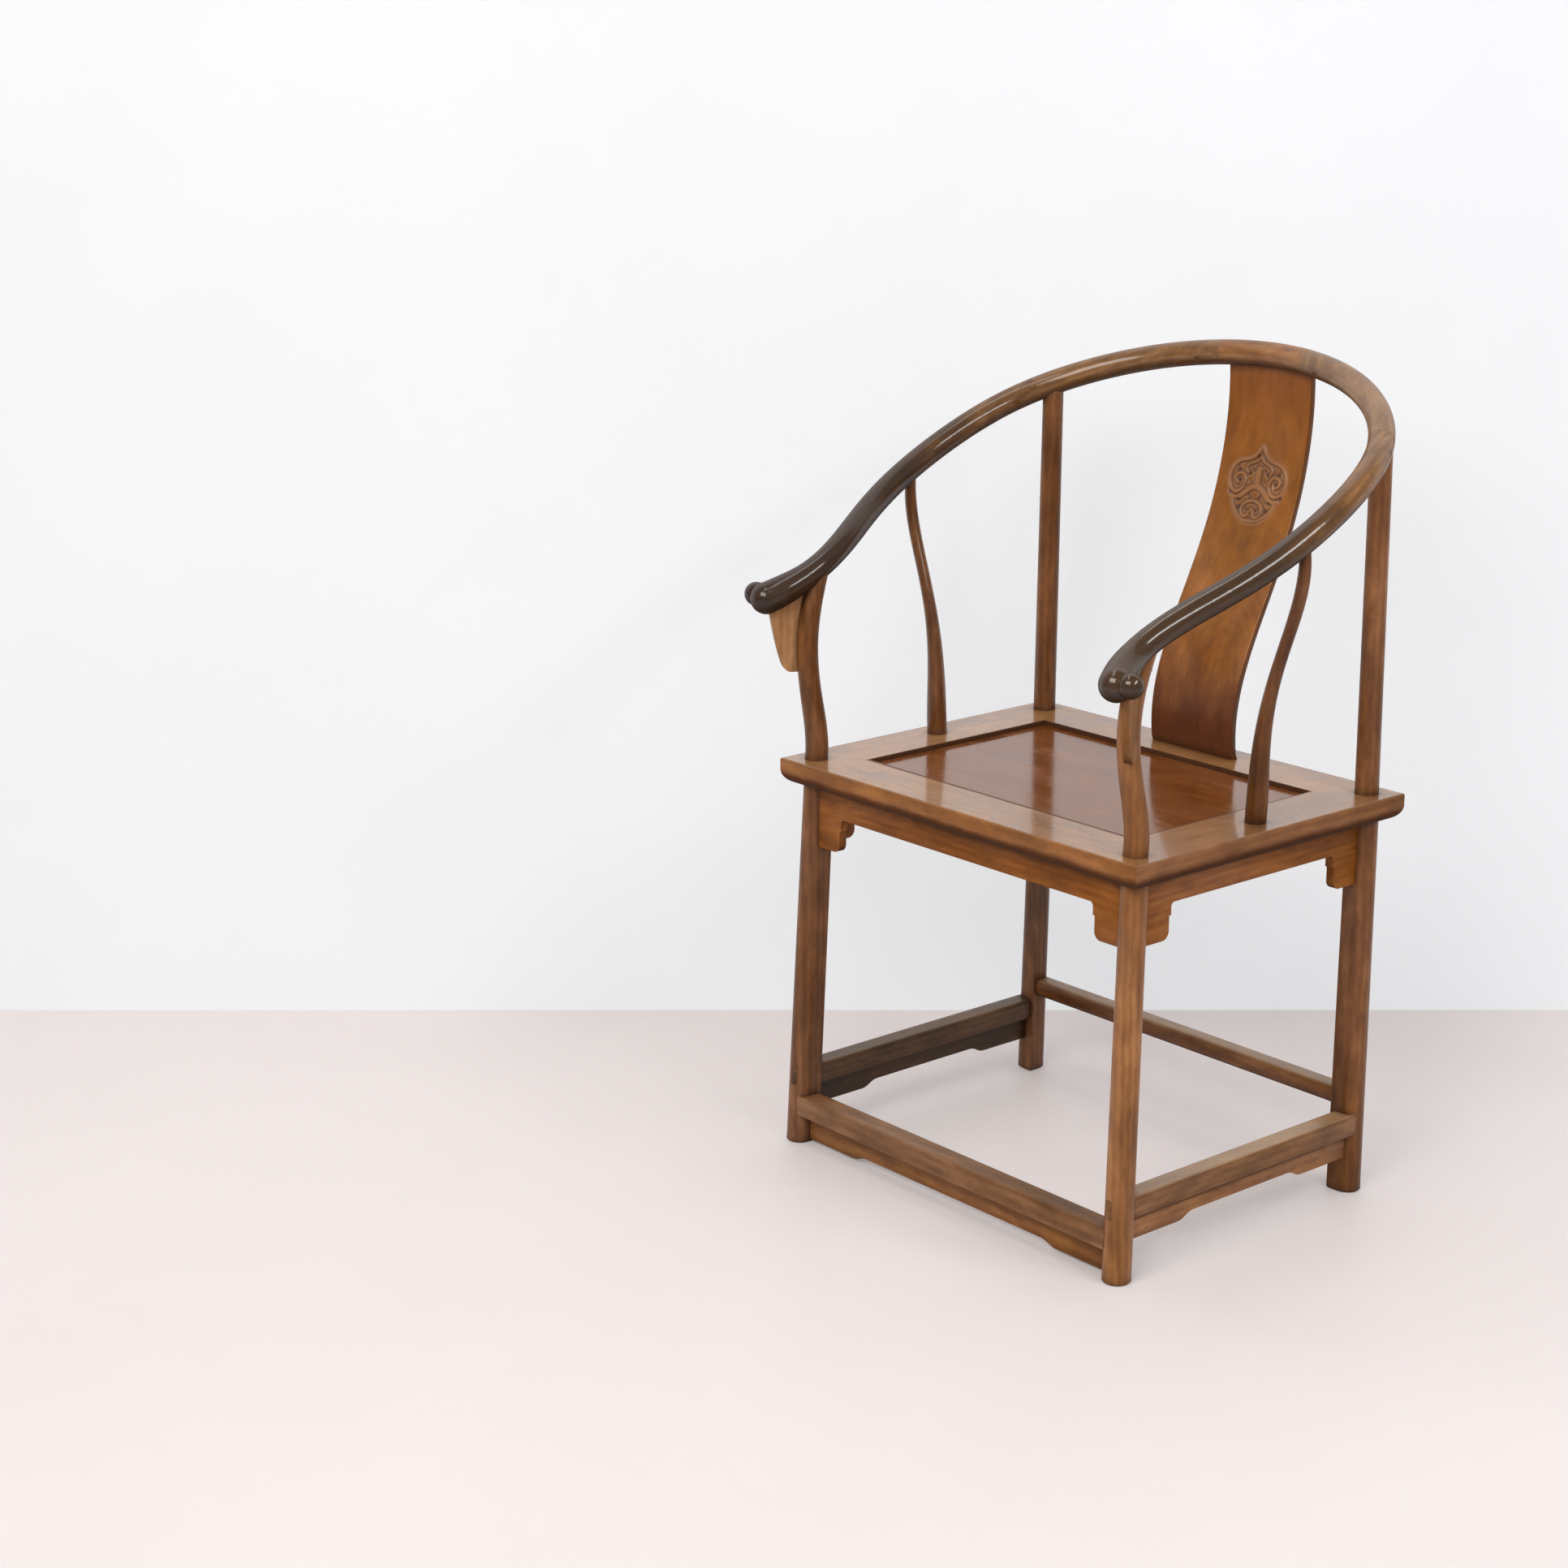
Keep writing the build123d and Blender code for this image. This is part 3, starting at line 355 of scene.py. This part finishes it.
# a member's finish, where its own settings say nothing else
plainFinish = {
    "figure": 0.1,         # the growth rings' share in the pattern
    "drift": 0.02,         # how far the heart of the tree wanders, in metres
    "gloss": 0.36,
    "shine": 0.36,
    "coat": 0.0,           # wax all round
    "topCoat": 0.0,        # wax on the top faces
    "relief": 0.55,
    "worn": 0.0,           # how much of the top faces is rubbed pale
    "edgeWearAndGlint": 0.4,
    "sideDark": 0.0,       # painted shade on the faces that look sideways
    "fade": (),            # stains and bands of painted shade: axis, from, to, tone, share, dullness
    "carved": False,
}


def grainLayers(tree, local, look):
    # the heart wanders, which turns the rings into flames and arches on a flat face
    stretched = addNode(tree, "Mapping", {
        "Vector": local, "Scale": (1, 1, grain["flameStretch"]),
    }).outputs[0]
    flames = noise(tree, stretched, **grain["flames"])["Color"]
    swing = addNode(tree, "VectorMath", {
        0: flames, 1: (noiseMean, noiseMean, noiseMean),
    }, operation="SUBTRACT").outputs[0]
    warped = addNode(tree, "VectorMath", {
        0: swing, 1: (look["drift"], look["drift"], 0), 2: local,
    }, operation="MULTIPLY_ADD").outputs[0]
    rings = addNode(tree, "TexWave", {
        "Vector": warped, "Scale": grain["waveWidth"] / grain["ringPitch"],
        "Distortion": grain["ringWobble"], **grain["ringDetail"],
    }, wave_type="RINGS", rings_direction="Z", wave_profile="SIN").outputs["Fac"]

    def longLayer(pitch, breaks, detail):
        finer = addNode(tree, "Mapping", {
            "Vector": warped, "Scale": (1 / pitch, 1 / pitch, breaks),
        }).outputs[0]
        return noise(tree, finer, 1.0, detail, grain["longRoughness"])["Fac"]

    layers = {name: longLayer(**grain[name]) for name in ("streaks", "curls", "fibres", "pores")}
    layers["pores"] = remap(tree, layers["pores"], *grain["poreRange"])
    layers["cloud"] = noise(tree, stretched, **grain["clouds"])["Fac"]
    rounder = addNode(tree, "Mapping", {
        "Vector": local, "Scale": (1, 1, grain["mottleStretch"]),
    }).outputs[0]
    layers["mottle"] = noise(tree, rounder, **grain["mottle"])["Fac"]

    figure = look["figure"]
    pattern = maths(tree, "MULTIPLY_ADD", rings, figure, grain["base"] - 0.5 * figure)
    for name, share in grain["shares"].items():
        layer = remap(tree, layers[name], *grain["shareRange"], 0.0, share)
        pattern = maths(tree, "ADD", pattern, layer)
    layers["pattern"] = pattern
    return layers


def freshWood(tree, layers, tones):
    ramp = addNode(tree, "ValToRGB", {"Fac": layers["pattern"]})
    stops = ramp.color_ramp.elements
    stops[0].position, stops[0].color = grain["stops"]["deep"], tones["deep"]
    stops[1].position, stops[1].color = grain["stops"]["pale"], tones["pale"]
    middle = stops.new(grain["stops"]["body"])
    middle.color = tones["body"]
    level = maths(
        tree, "MULTIPLY", remap(tree, layers["cloud"], *noiseRange, *grain["cloudLevels"]),
        remap(tree, layers["mottle"], *noiseRange, *grain["mottleLevels"]))
    return addNode(tree, "HueSaturation", {
        "Color": ramp.outputs["Color"], "Value": level,
        "Saturation": remap(tree, layers["cloud"], *grain["greyRange"], *grain["saturation"]),
    }).outputs["Color"]


def addStainsAndShade(tree, colour, layers, coords, fade):
    # stains and bands of painted shade come in along an axis with an uneven edge, and take some of
    # the gloss away
    dull = 0.0
    for axis, start, end, stainAndShadeTone, share, dullness in fade:
        position = addNode(tree, "SeparateXYZ", {"Vector": coords}).outputs[axis]
        uneven = abs(end - start) * wearAndShade["ragged"]
        edge = remap(tree, layers["mottle"], *noiseRange, -uneven, uneven)
        position = maths(tree, "ADD", position, edge)
        reach = remap(tree, position, start, end, 0.0, share, smooth=True)
        dull = maths(tree, "MULTIPLY_ADD", reach, dullness, dull)
        shades = blendTones(
            tree, remap(tree, layers["pattern"], *wearAndShade["stainAndShadeRange"]),
            *(darker(tone(*stainAndShadeTone), level) for level in wearAndShade["stainAndShadeLevels"]))
        colour = blendTones(tree, reach, colour, shades)
    return colour, dull


def addCarvedTones(tree, colour):
    height = addNode(tree, "Attribute", attribute_name="carving").outputs["Fac"]
    for part in carvedTones:
        reach = remap(tree, height, part["from"], part["to"], 0.0, part["share"])
        colour = blendTones(tree, reach, colour, tone(*part["tone"]))
    return colour


def woodMaterial(name, place, seed, look):
    # place is the heart of the tree beside the member, and the seed shifts it along the grain
    look = {**plainFinish, **look}
    tones = {key: tone(*colour) for key, colour in woods[look["wood"]].items()}
    deep, pale = tones["deep"], tones["pale"]
    material = newMaterial(name)
    tree = material.node_tree
    coords = addNode(tree, "TexCoord").outputs["Object"]
    along = Vector(look["along"])
    local = addNode(tree, "Mapping", {
        "Vector": coords, "Location": Vector(place) + along.normalized() * seed,
        "Rotation": along.to_track_quat("Z", "Y").to_euler(),
    }, vector_type="TEXTURE").outputs[0]
    layers = grainLayers(tree, local, look)
    cloud, mottle, pores = layers["cloud"], layers["mottle"], layers["pores"]
    colour = freshWood(tree, layers, tones)

    flat = addNode(tree, "NewGeometry").outputs["Normal"]
    faces = addNode(tree, "SeparateXYZ", {"Vector": flat}).outputs
    upward = remap(tree, faces[2], *wearAndShade["topRange"])
    if look["worn"]:
        shares = (share * look["worn"] for share in wearAndShade["rubbedShares"])
        rubbed = maths(tree, "MULTIPLY", upward, remap(tree, mottle, *wearAndShade["rubbedRange"], *shares))
        colour = blendTones(tree, rubbed, colour, tone(*wearAndShade["rubbedTone"]))
    colour, dull = addStainsAndShade(tree, colour, layers, coords, look["fade"])

    # painted shade on the undersides, and on the faces that look sideways where a member asks for
    # it
    paintedShadeTone = darker(deep, wearAndShade["shadeLevel"])
    under = remap(tree, faces[2], *wearAndShade["underRange"])
    dull = maths(tree, "MULTIPLY_ADD", under, wearAndShade["underDull"], dull)
    colour = blendTones(tree, maths(tree, "MULTIPLY", under, wearAndShade["underShadeShare"]), colour, paintedShadeTone)
    if look["sideDark"]:
        sideways = maths(tree, "ABSOLUTE", faces[0])
        beside = remap(tree, sideways, *wearAndShade["sideRange"], 0.0, look["sideDark"])
        colour = blendTones(tree, beside, colour, paintedShadeTone)

    # worn arrises, which on the splat also stand for a painted highlight, grime and painted shade
    # in the corners, and dark pores
    rounded = addNode(tree, "Bevel", {
        "Radius": wearAndShade["edgeRound"],
    }, samples=wearAndShade["edgeSamples"]).outputs[0]
    facing = addNode(tree, "VectorMath", {
        0: rounded, 1: flat,
    }, operation="DOT_PRODUCT").outputs["Value"]
    shade = addNode(tree, "AmbientOcclusion", {
        "Distance": wearAndShade["cornerReach"],
    }, samples=wearAndShade["cornerSamples"]).outputs["AO"]
    arris = remap(tree, facing, *wearAndShade["edgeRange"], 0.0, look["edgeWearAndGlint"])
    breaks, breakShares = wearAndShade["edgeBreaks"]
    arris = maths(tree, "MULTIPLY", arris, remap(tree, cloud, *breaks, *breakShares))
    arris = maths(tree, "MULTIPLY", arris, remap(tree, shade, *wearAndShade["edgeOpen"]))
    colour = blendTones(tree, arris, colour, darker(pale, wearAndShade["edgeLevel"]))
    grimeAndShade = remap(tree, shade, *wearAndShade["grimeAndShadeRange"], 0.0, wearAndShade["grimeAndShade"])
    colour = blendTones(tree, grimeAndShade, colour, darker(deep, wearAndShade["grimeAndShadeLevel"]))
    filled = maths(tree, "MULTIPLY", pores, wearAndShade["poreDark"])
    colour = blendTones(tree, filled, colour, darker(deep, wearAndShade["poreLevel"]))
    if look["carved"]:
        colour = addCarvedTones(tree, colour)

    levels = (look["gloss"] + more for more in wearAndShade["mottleRough"])
    rough = remap(tree, mottle, *noiseRange, *levels)
    rough = maths(tree, "ADD", rough, maths(tree, "MULTIPLY", pores, wearAndShade["poreRough"]))
    rough = maths(tree, "ADD", rough, maths(tree, "MULTIPLY", grimeAndShade, wearAndShade["grimeAndShadeRough"]))
    rough = maths(tree, "ADD", rough, dull, clamp=True)

    exposed = remap(tree, shade, *wearAndShade["openRange"])
    turned = addNode(tree, "Mix", {
        0: exposed, 4: flat, 5: rounded,
    }, data_type="VECTOR").outputs[1]
    height = 0.0
    for layer, share in grain["heights"].items():
        height = maths(tree, "ADD", height, maths(tree, "MULTIPLY", layers[layer], share))
    bump = addNode(tree, "Bump", {
        "Strength": look["relief"], "Distance": grain["depth"], "Height": height, "Normal": turned,
    }).outputs[0]

    # the wax thins where a round member turns away, and stays out of the stained lines
    away = addNode(tree, "LayerWeight", {"Blend": wax["rimBlend"]}).outputs["Facing"]
    waxed = maths(tree, "MULTIPLY", remap(tree, away, *wax["rimRange"], 1.0, 0.0), look["coat"])
    waxed = maths(tree, "MULTIPLY_ADD", upward, look["topCoat"], waxed)
    kept = remap(tree, dull, *wax["dullRange"], 1.0, wax["dullShare"])
    waxed = maths(tree, "MULTIPLY", waxed, kept)
    shader = addNode(tree, "BsdfPrincipled", {
        "Base Color": colour, "Roughness": rough, "Normal": bump,
        "Coat Weight": waxed if look["coat"] or look["topCoat"] else 0.0,
        "Coat Roughness": wax["roughness"], "Coat Normal": turned,
        "Specular IOR Level": look["shine"], "Specular Tint": wax["tint"],
    })
    addNode(tree, "OutputMaterial", {"Surface": shader.outputs[0]})
    return material


acrossX, acrossY, upright = (1, 0, 0), (0, 1, 0), (0, 0, 1)
armRun = (0, -0.9, -0.44)

# the hands' dark polish, which thins towards the back of the horseshoe; handShade paints shade
# under the hands
handShade = (2, 0.716, 0.699, (36, 23, 14), 0.85, 0.0)
rightPolishAndShade = [(1, 0.07, -0.07, (58, 36, 15), 0.95, 0.0), handShade]
leftPolishAndShade = [(1, 0.19, -0.06, (50, 32, 20), 0.95, 0.0), handShade]

# painted shade under the moulded edge, and a painted shadow line in the recess round the panel
underShade = (2, 0.487, 0.475, (78, 36, 10), 0.94, 1.0)
panelShadowLine = {
    "front": (1, -0.1768, -0.1730, (72, 38, 20), 0.85, 0.4),
    "back": (1, 0.1350, 0.1324, (60, 30, 15), 0.88, 0.4),
    "right": (0, 0.2254, 0.2228, (60, 30, 15), 0.88, 0.4),
    "left": (0, -0.2254, -0.2228, (60, 30, 15), 0.88, 0.4),
}

# the darkness under the footrest's and the right stretcher's overhang
footShade = (2, 0.027, 0.034, (46, 26, 13), 0.85, 0.3)
sideShade = (2, 0.067, 0.073, (46, 26, 13), 0.85, 0.3)
# painted shade at the top of the right front leg, under the seat
legTopShade = (2, 0.33, 0.46, (124, 74, 32), 0.6, 0.0)

seatRail = {"gloss": 0.3, "topCoat": 0.75, "worn": 0.24}
seatApron = {"wood": "apron", "shine": 0.18}

# their order settles where in the tree each one is cut
members = {
    "crest_rail_centre": {
        "wood": "crest", "along": acrossX, "gloss": 0.42, "coat": 0.6, "shine": 0.2},
    "crest_rail_shoulder_right": {
        "wood": "shoulder", "along": (0.62, -0.7, -0.34), "fade": rightPolishAndShade,
        "gloss": 0.34, "coat": 0.5, "shine": 0.4},
    "crest_rail_shoulder_left": {
        "wood": "rail", "along": (-0.62, -0.7, -0.34), "fade": leftPolishAndShade,
        "gloss": 0.34, "coat": 0.7, "shine": 0.35},
    "arm_right": {
        "wood": "rail", "along": armRun, "fade": rightPolishAndShade,
        "gloss": 0.45, "coat": 1.0, "shine": 0.12},
    "arm_left": {
        "wood": "rail", "along": armRun, "fade": leftPolishAndShade,
        "gloss": 0.45, "coat": 0.8, "shine": 0.12},
    "back_scarf_pin_right": {"wood": "rail", "along": upright},
    "back_scarf_pin_left": {"wood": "rail", "along": upright},
    "arm_scarf_pin_right": {"wood": "post", "along": upright},
    "arm_scarf_pin_left": {"wood": "post", "along": upright},
    "front_leg_right": {"wood": "leg", "along": upright, "figure": 0.12, "fade": [legTopShade]},
    "front_leg_left": {"wood": "shadedLeg", "along": upright, "figure": 0.12},
    "rear_leg_right": {"wood": "rearLeg", "along": upright},
    "rear_leg_left": {"wood": "shadedLeg", "along": upright},
    "side_post_right": {
        "wood": "post", "along": upright, "coat": 0.15, "gloss": 0.26, "shine": 0.25},
    "side_post_left": {"wood": "post", "along": upright, "coat": 0.5, "gloss": 0.2},
    "arm_bracket_right": {"wood": "stretcher", "along": upright, "gloss": 0.55, "shine": 0.1},
    "arm_bracket_left": {"wood": "bracket", "along": upright, "shine": 0.2},
    "seat_rail_front": {
        "wood": "frame", "along": acrossX, "fade": [underShade, panelShadowLine["front"]], **seatRail},
    "seat_rail_back": {
        "wood": "frame", "along": acrossX, "fade": [underShade, panelShadowLine["back"]], **seatRail},
    "seat_rail_right": {
        "wood": "shadedSideFrame", "along": acrossY, "fade": [underShade, panelShadowLine["right"]],
        **seatRail},
    "seat_rail_left": {
        "wood": "frame", "along": acrossY, "fade": [underShade, panelShadowLine["left"]], **seatRail},
    "seat_panel": {
        "wood": "panel", "along": acrossX, "gloss": 0.12, "shine": 1.0, "relief": 0.08},
    "panel_batten_right": {"wood": "stretcher", "along": acrossY},
    "panel_batten_left": {"wood": "stretcher", "along": acrossY},
    "apron_front": {"along": acrossX, **seatApron},
    "apron_back": {"along": acrossX, **seatApron},
    "apron_right": {"along": acrossY, **seatApron},
    "apron_left": {"along": acrossY, **seatApron},
    "footrest": {"wood": "stretcher", "along": acrossX, "worn": 0.05},
    "side_stretcher_right": {
        "wood": "stretcher", "along": acrossY, "worn": 0.6, "topCoat": 0.4},
    "side_stretcher_left": {"wood": "shadedStretcher", "along": acrossY, "worn": 0.15},
    "rear_stretcher": {"wood": "rearLeg", "along": acrossX, "worn": 0.5, "topCoat": 0.3},
    "footrest_apron": {"wood": "leg", "along": acrossX, "shine": 0.25, "fade": [footShade]},
    "side_stretcher_apron_right": {"wood": "leg", "along": acrossY, "fade": [sideShade]},
    "side_stretcher_apron_left": {"wood": "shadedApron", "along": acrossY},
}

# no two neighbours are cut from the same place in the tree
cut = {
    "firstSeed": 0.4,
    "seedStep": 0.83,
    # from a member's middle to the heart on each axis: least, step, steps until it repeats
    "heart": ((0.021, 0.004, 5), (0.03, 0.005, 3), (-0.035, 0.0, 1)),
}


def dressMembers():
    for count, (name, look) in enumerate(members.items()):
        low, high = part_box(name)
        beside = [least + step * (count % steps) for least, step, steps in cut["heart"]]
        place = (low + high) / 2 + Vector(beside)
        seed = cut["seedStep"] * count + cut["firstSeed"]
        nodes[name].material_slots[0].material = woodMaterial(name + "Wood", place, seed, look)


dressMembers()
print("members are finished:", len(members))


# the back splat, with its carved cloud-scroll roundel
splat = {
    "footZ": 0.4995,
    "topZ": 0.9695,
    "tongueZ": 0.962,              # where the tongue into the rail starts
    "thick": 0.009,
    "footWidth": 0.134,
    "headWidth": 0.131,
    "columns": 34,
    "rows": 118,
    "frontVertex": -0.6,           # how far a normal turns to the front, or an edge sideways
    "frontFace": -0.5,
    "sideEdge": 0.8,
    "leastStep": 0.0015,           # between two heights that are read off
    "arris": 0.0014,
    "arrisSteps": 3,
    "smoothAngle": 40,
    "centre": (-0.001, 0.822),     # of the carving
    "zone": 0.052,                 # half the square that is cut up finely
    "cuts": 5,
    "reach": 0.055,                # half the square that is carved
    "skin": 0.001,                 # how near to the front a vertex counts as part of it
    "shoulder": 0.0013,            # how steeply a scroll rises from the ground
    "rise": 0.6,                   # how high it has risen at its stated edge
    "ground": 0.0012,
    "border": 0.35,                # share of the ground's depth outside the outline
    "pit": 0.0018,
    "proud": 0.0004,
    "margin": 0.0045,              # the sunk border around the scrolls
    "marginSoft": 0.7,
}

splatCut = {"place": (0.03, 0.17, 0.75), "seed": 0.37}

# painted shade: the splat darkens towards its foot, and sideDark shades its side faces; it warms
# towards its top, and its pale arrises are partly wear and partly a painted highlight
splatLook = {
    "wood": "splat", "along": upright, "figure": 0.1, "drift": 0.05, "gloss": 0.3, "coat": 0.25,
    "fade": [(2, 0.68, 0.52, (84, 38, 20), 0.88, 0.0), (2, 0.84, 0.98, (150, 78, 26), 0.4, 0.0)],
    "edgeWearAndGlint": 0.75, "sideDark": 0.8, "carved": True,
}

# one side of the scrolls, in millimetres from the middle of the carving: half width, then points
scrolls = [
    (1.7, [(0, 46), (5, 38), (12, 31.5), (21, 28), (30, 26), (38, 21), (43.5, 12), (44.5, 2),
           (41, -8), (33, -12.5), (25, -10.5), (19.5, -3), (20.5, 6), (27, 10.5), (34, 8),
           (35.5, 2), (31, -1.5)]),
    (1.4, [(0, 33), (5, 27.5), (12, 24.5), (18.5, 21.5), (20.5, 16.5), (17, 12)]),
    (4.2, [(0, 17), (0, 1), (0, -2)]),
    (3.0, [(0, -2), (8, -5.5), (15, -10.5), (22, -16.5)]),
    (1.6, [(22, -16.5), (30, -19), (37, -17.5)]),
    (1.6, [(0, -20.5), (8, -22), (14.5, -27), (16, -34), (11, -39.5), (4.5, -38.5), (3.2, -34)]),
    (1.6, [(33, -18), (32, -26), (26, -34), (18, -40.5), (9, -44), (0, -45)]),
    (2.0, [(0, -31), (0, -32)]),
]

# the carving's outline, round which the ground comes up to the plain face
outline = [
    (0, 46), (5, 38), (12, 31.5), (21, 28), (30, 26), (38, 21), (43.5, 12), (44.5, 2), (41, -8),
    (38, -15), (34, -20), (32, -27), (26, -34), (18, -40.5), (9, -44), (0, -45)]

# the deepest holes: across, up, radius
pits = [
    (32, 15.5, 3.2), (10, 16.5, 2.8), (13, 12, 2.2), (28, 2.5, 2.6), (41, -13.5, 2.4),
    (11, 2.5, 2.0), (8, -15.5, 2.6), (22, -30, 3.2), (24, -22, 2.0), (8.5, -31, 2.4),
    (6, 33.5, 1.8)]

millimetre = 0.001
toMillimetres = 1000
bothSides = (1, -1)
farAway = 1e9
noLength = 1e-12


def smoothLine(points, steps=10):
    # a smooth line through the points
    points = [np.array(p, float) for p in points]
    padded = [2 * points[0] - points[1], *points, 2 * points[-1] - points[-2]]
    line = []
    for before, start, end, after in zip(padded, padded[1:], padded[2:], padded[3:]):
        for step in range(steps):
            t = step / steps
            line.append(0.5 * (2 * start + (end - before) * t
                               + (2 * before - 5 * start + 4 * end - after) * t ** 2
                               + (3 * start - before - 3 * end + after) * t ** 3))
    return np.array(line + [points[-1]])


def distanceTo(line, spots):
    # from each spot to the line or to its mirror image, whichever is nearer
    nearest = np.full(len(spots), farAway)
    for side in bothSides:
        path = line * (side, 1) * millimetre
        for start, end in zip(path, path[1:]):
            span = end - start
            share = np.clip(((spots - start) @ span) / (span @ span + noLength), 0, 1)
            away = np.linalg.norm(spots - start - share[:, None] * span, axis=1)
            nearest = np.minimum(nearest, away)
    return nearest


def easeIn(value):
    value = np.clip(value, 0, 1)
    return value * value * (3 - 2 * value)


def insideOutline(spots):
    across, up = np.abs(spots[:, 0]) * toMillimetres, spots[:, 1] * toMillimetres
    inside = np.zeros(len(spots), bool)
    for (x, z), (nextX, nextZ) in zip(outline, outline[1:]):
        edge = x + (nextX - x) * (up - z) / (nextZ - z)
        inside |= (up < z) & (up >= nextZ) & (across < edge)
    return inside


def reliefAt(spots):
    # rounded scrolls over a ground that is sunk between them and rises to the plain face
    ridge = np.zeros(len(spots))
    nearest = np.full(len(spots), farAway)
    for half, points in scrolls:
        gap = distanceTo(smoothLine(points), spots) - half * millimetre
        ridge = np.maximum(ridge, easeIn(splat["rise"] - gap / splat["shoulder"]))
        nearest = np.minimum(nearest, gap)
    sunk = easeIn((splat["margin"] - nearest) / (splat["marginSoft"] * splat["margin"]))
    sunk *= np.where(insideOutline(spots), 1, splat["border"])
    hole = np.zeros(len(spots))
    for across, up, radius in pits:
        for side in bothSides:
            away = np.linalg.norm(spots * toMillimetres - (side * across, up), axis=1)
            hole = np.maximum(hole, np.exp(-(away / radius) ** 2))
    return ridge * splat["proud"] - (1 - ridge) * (splat["ground"] * sunk + splat["pit"] * hole)


def frontLine():
    # the splat's front, as heights and depths read off its own joinery; heights that agree to
    # the sixth decimal are one
    spots = {}
    for vertex in nodes["back_splat"].data.vertices:
        y, z = vertex.co.yz
        if splat["footZ"] < z < splat["tongueZ"] and vertex.normal.y < splat["frontVertex"]:
            spots[round(z, 6)] = y
    heights = np.array(sorted(spots))
    depths = np.array([spots[z] for z in heights])
    keep = np.concatenate([[True], np.diff(heights) > splat["leastStep"]])
    return heights[keep], depths[keep]


def frontCurve():
    # a smooth curve through the front line, which runs on straight above its last height
    heights, depths = frontLine()
    slopes = np.gradient(depths, heights)

    def frontAt(z):
        z = np.asarray(z, float)
        index = np.clip(np.searchsorted(heights, z) - 1, 0, len(heights) - 2)
        span = heights[index + 1] - heights[index]
        t = (z - heights[index]) / span
        inside = ((2 * t ** 3 - 3 * t ** 2 + 1) * depths[index]
                  + (t ** 3 - 2 * t ** 2 + t) * span * slopes[index]
                  + (3 * t ** 2 - 2 * t ** 3) * depths[index + 1]
                  + (t ** 3 - t ** 2) * span * slopes[index + 1])
        straight = depths[-1] + (z - heights[-1]) * slopes[-1]
        return np.where(z > heights[-1], straight, inside)

    return frontAt


def makeBoard(frontAt):
    # a grid laid along the front's curve, then made thick, with soft long edges
    deselectAll()
    bpy.ops.mesh.primitive_grid_add(
        x_subdivisions=splat["columns"], y_subdivisions=splat["rows"], size=1,
        rotation=(math.radians(90), 0, 0),
    )
    board = bpy.context.object
    board.name = "carvedSplat"
    bpy.ops.object.transform_apply(location=True, rotation=True, scale=True)
    tall = splat["topZ"] - splat["footZ"]
    for vertex in board.data.vertices:
        up = vertex.co.z + 0.5
        z = splat["footZ"] + up * tall
        width = splat["footWidth"] + (splat["headWidth"] - splat["footWidth"]) * up
        vertex.co = (vertex.co.x * width, float(frontAt(z)), z)

    activate(board)
    bpy.ops.object.mode_set(mode="EDIT")
    bpy.ops.mesh.select_all(action="SELECT")
    bpy.ops.mesh.extrude_region_move(TRANSFORM_OT_translate={"value": (0, splat["thick"], 0)})
    bpy.ops.mesh.select_all(action="SELECT")
    bpy.ops.mesh.normals_make_consistent(inside=False)
    bpy.ops.mesh.select_mode(type="EDGE")
    shape = bmesh.from_edit_mesh(board.data)
    for edge in shape.edges:
        turns = [face.normal.x for face in edge.link_faces]
        edge.select_set(len(turns) == 2 and abs(turns[0] - turns[1]) > splat["sideEdge"])
    bmesh.update_edit_mesh(board.data)
    bpy.ops.mesh.bevel(offset=splat["arris"], segments=splat["arrisSteps"])

    # fine squares under the carving
    middleX, middleZ = splat["centre"]
    bpy.ops.mesh.select_mode(type="FACE")
    shape = bmesh.from_edit_mesh(board.data)
    for face in shape.faces:
        spot = face.calc_center_median()
        face.select_set(
            face.normal.y < splat["frontFace"]
            and abs(spot.x - middleX) < splat["zone"]
            and abs(spot.z - middleZ) < splat["zone"]
        )
    bmesh.update_edit_mesh(board.data)
    bpy.ops.mesh.subdivide(number_cuts=splat["cuts"])
    bpy.ops.object.mode_set(mode="OBJECT")
    return board


def carve(board, frontAt):
    places = np.array([v.co for v in board.data.vertices])
    fromMiddle = places[:, [0, 2]] - np.array(splat["centre"])
    fronts = frontAt(places[:, 2])
    carved = np.abs(places[:, 1] - fronts) < splat["skin"]
    carved &= np.abs(places[:, 0]) < splat["reach"]
    carved &= np.abs(fromMiddle[:, 1]) < splat["reach"]
    relief = np.zeros(len(places))
    relief[carved] = reliefAt(fromMiddle[carved])
    for index in np.flatnonzero(carved):
        board.data.vertices[index].co.y = float(fronts[index] - relief[index])
    # the relief's height, in millimetres, tells the finish where to darken it
    height = board.data.attributes.new("carving", "FLOAT", "POINT")
    height.data.foreach_set("value", (relief * toMillimetres).astype(np.float32))


def makeSplat():
    frontAt = frontCurve()
    board = makeBoard(frontAt)
    carve(board, frontAt)
    activate(board)
    bpy.ops.object.shade_smooth_by_angle(angle=math.radians(splat["smoothAngle"]))
    board.data.materials.append(woodMaterial("splatWood", look=splatLook, **splatCut))
    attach(board, "root")
    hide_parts("back_splat")


makeSplat()
print("splat is carved")
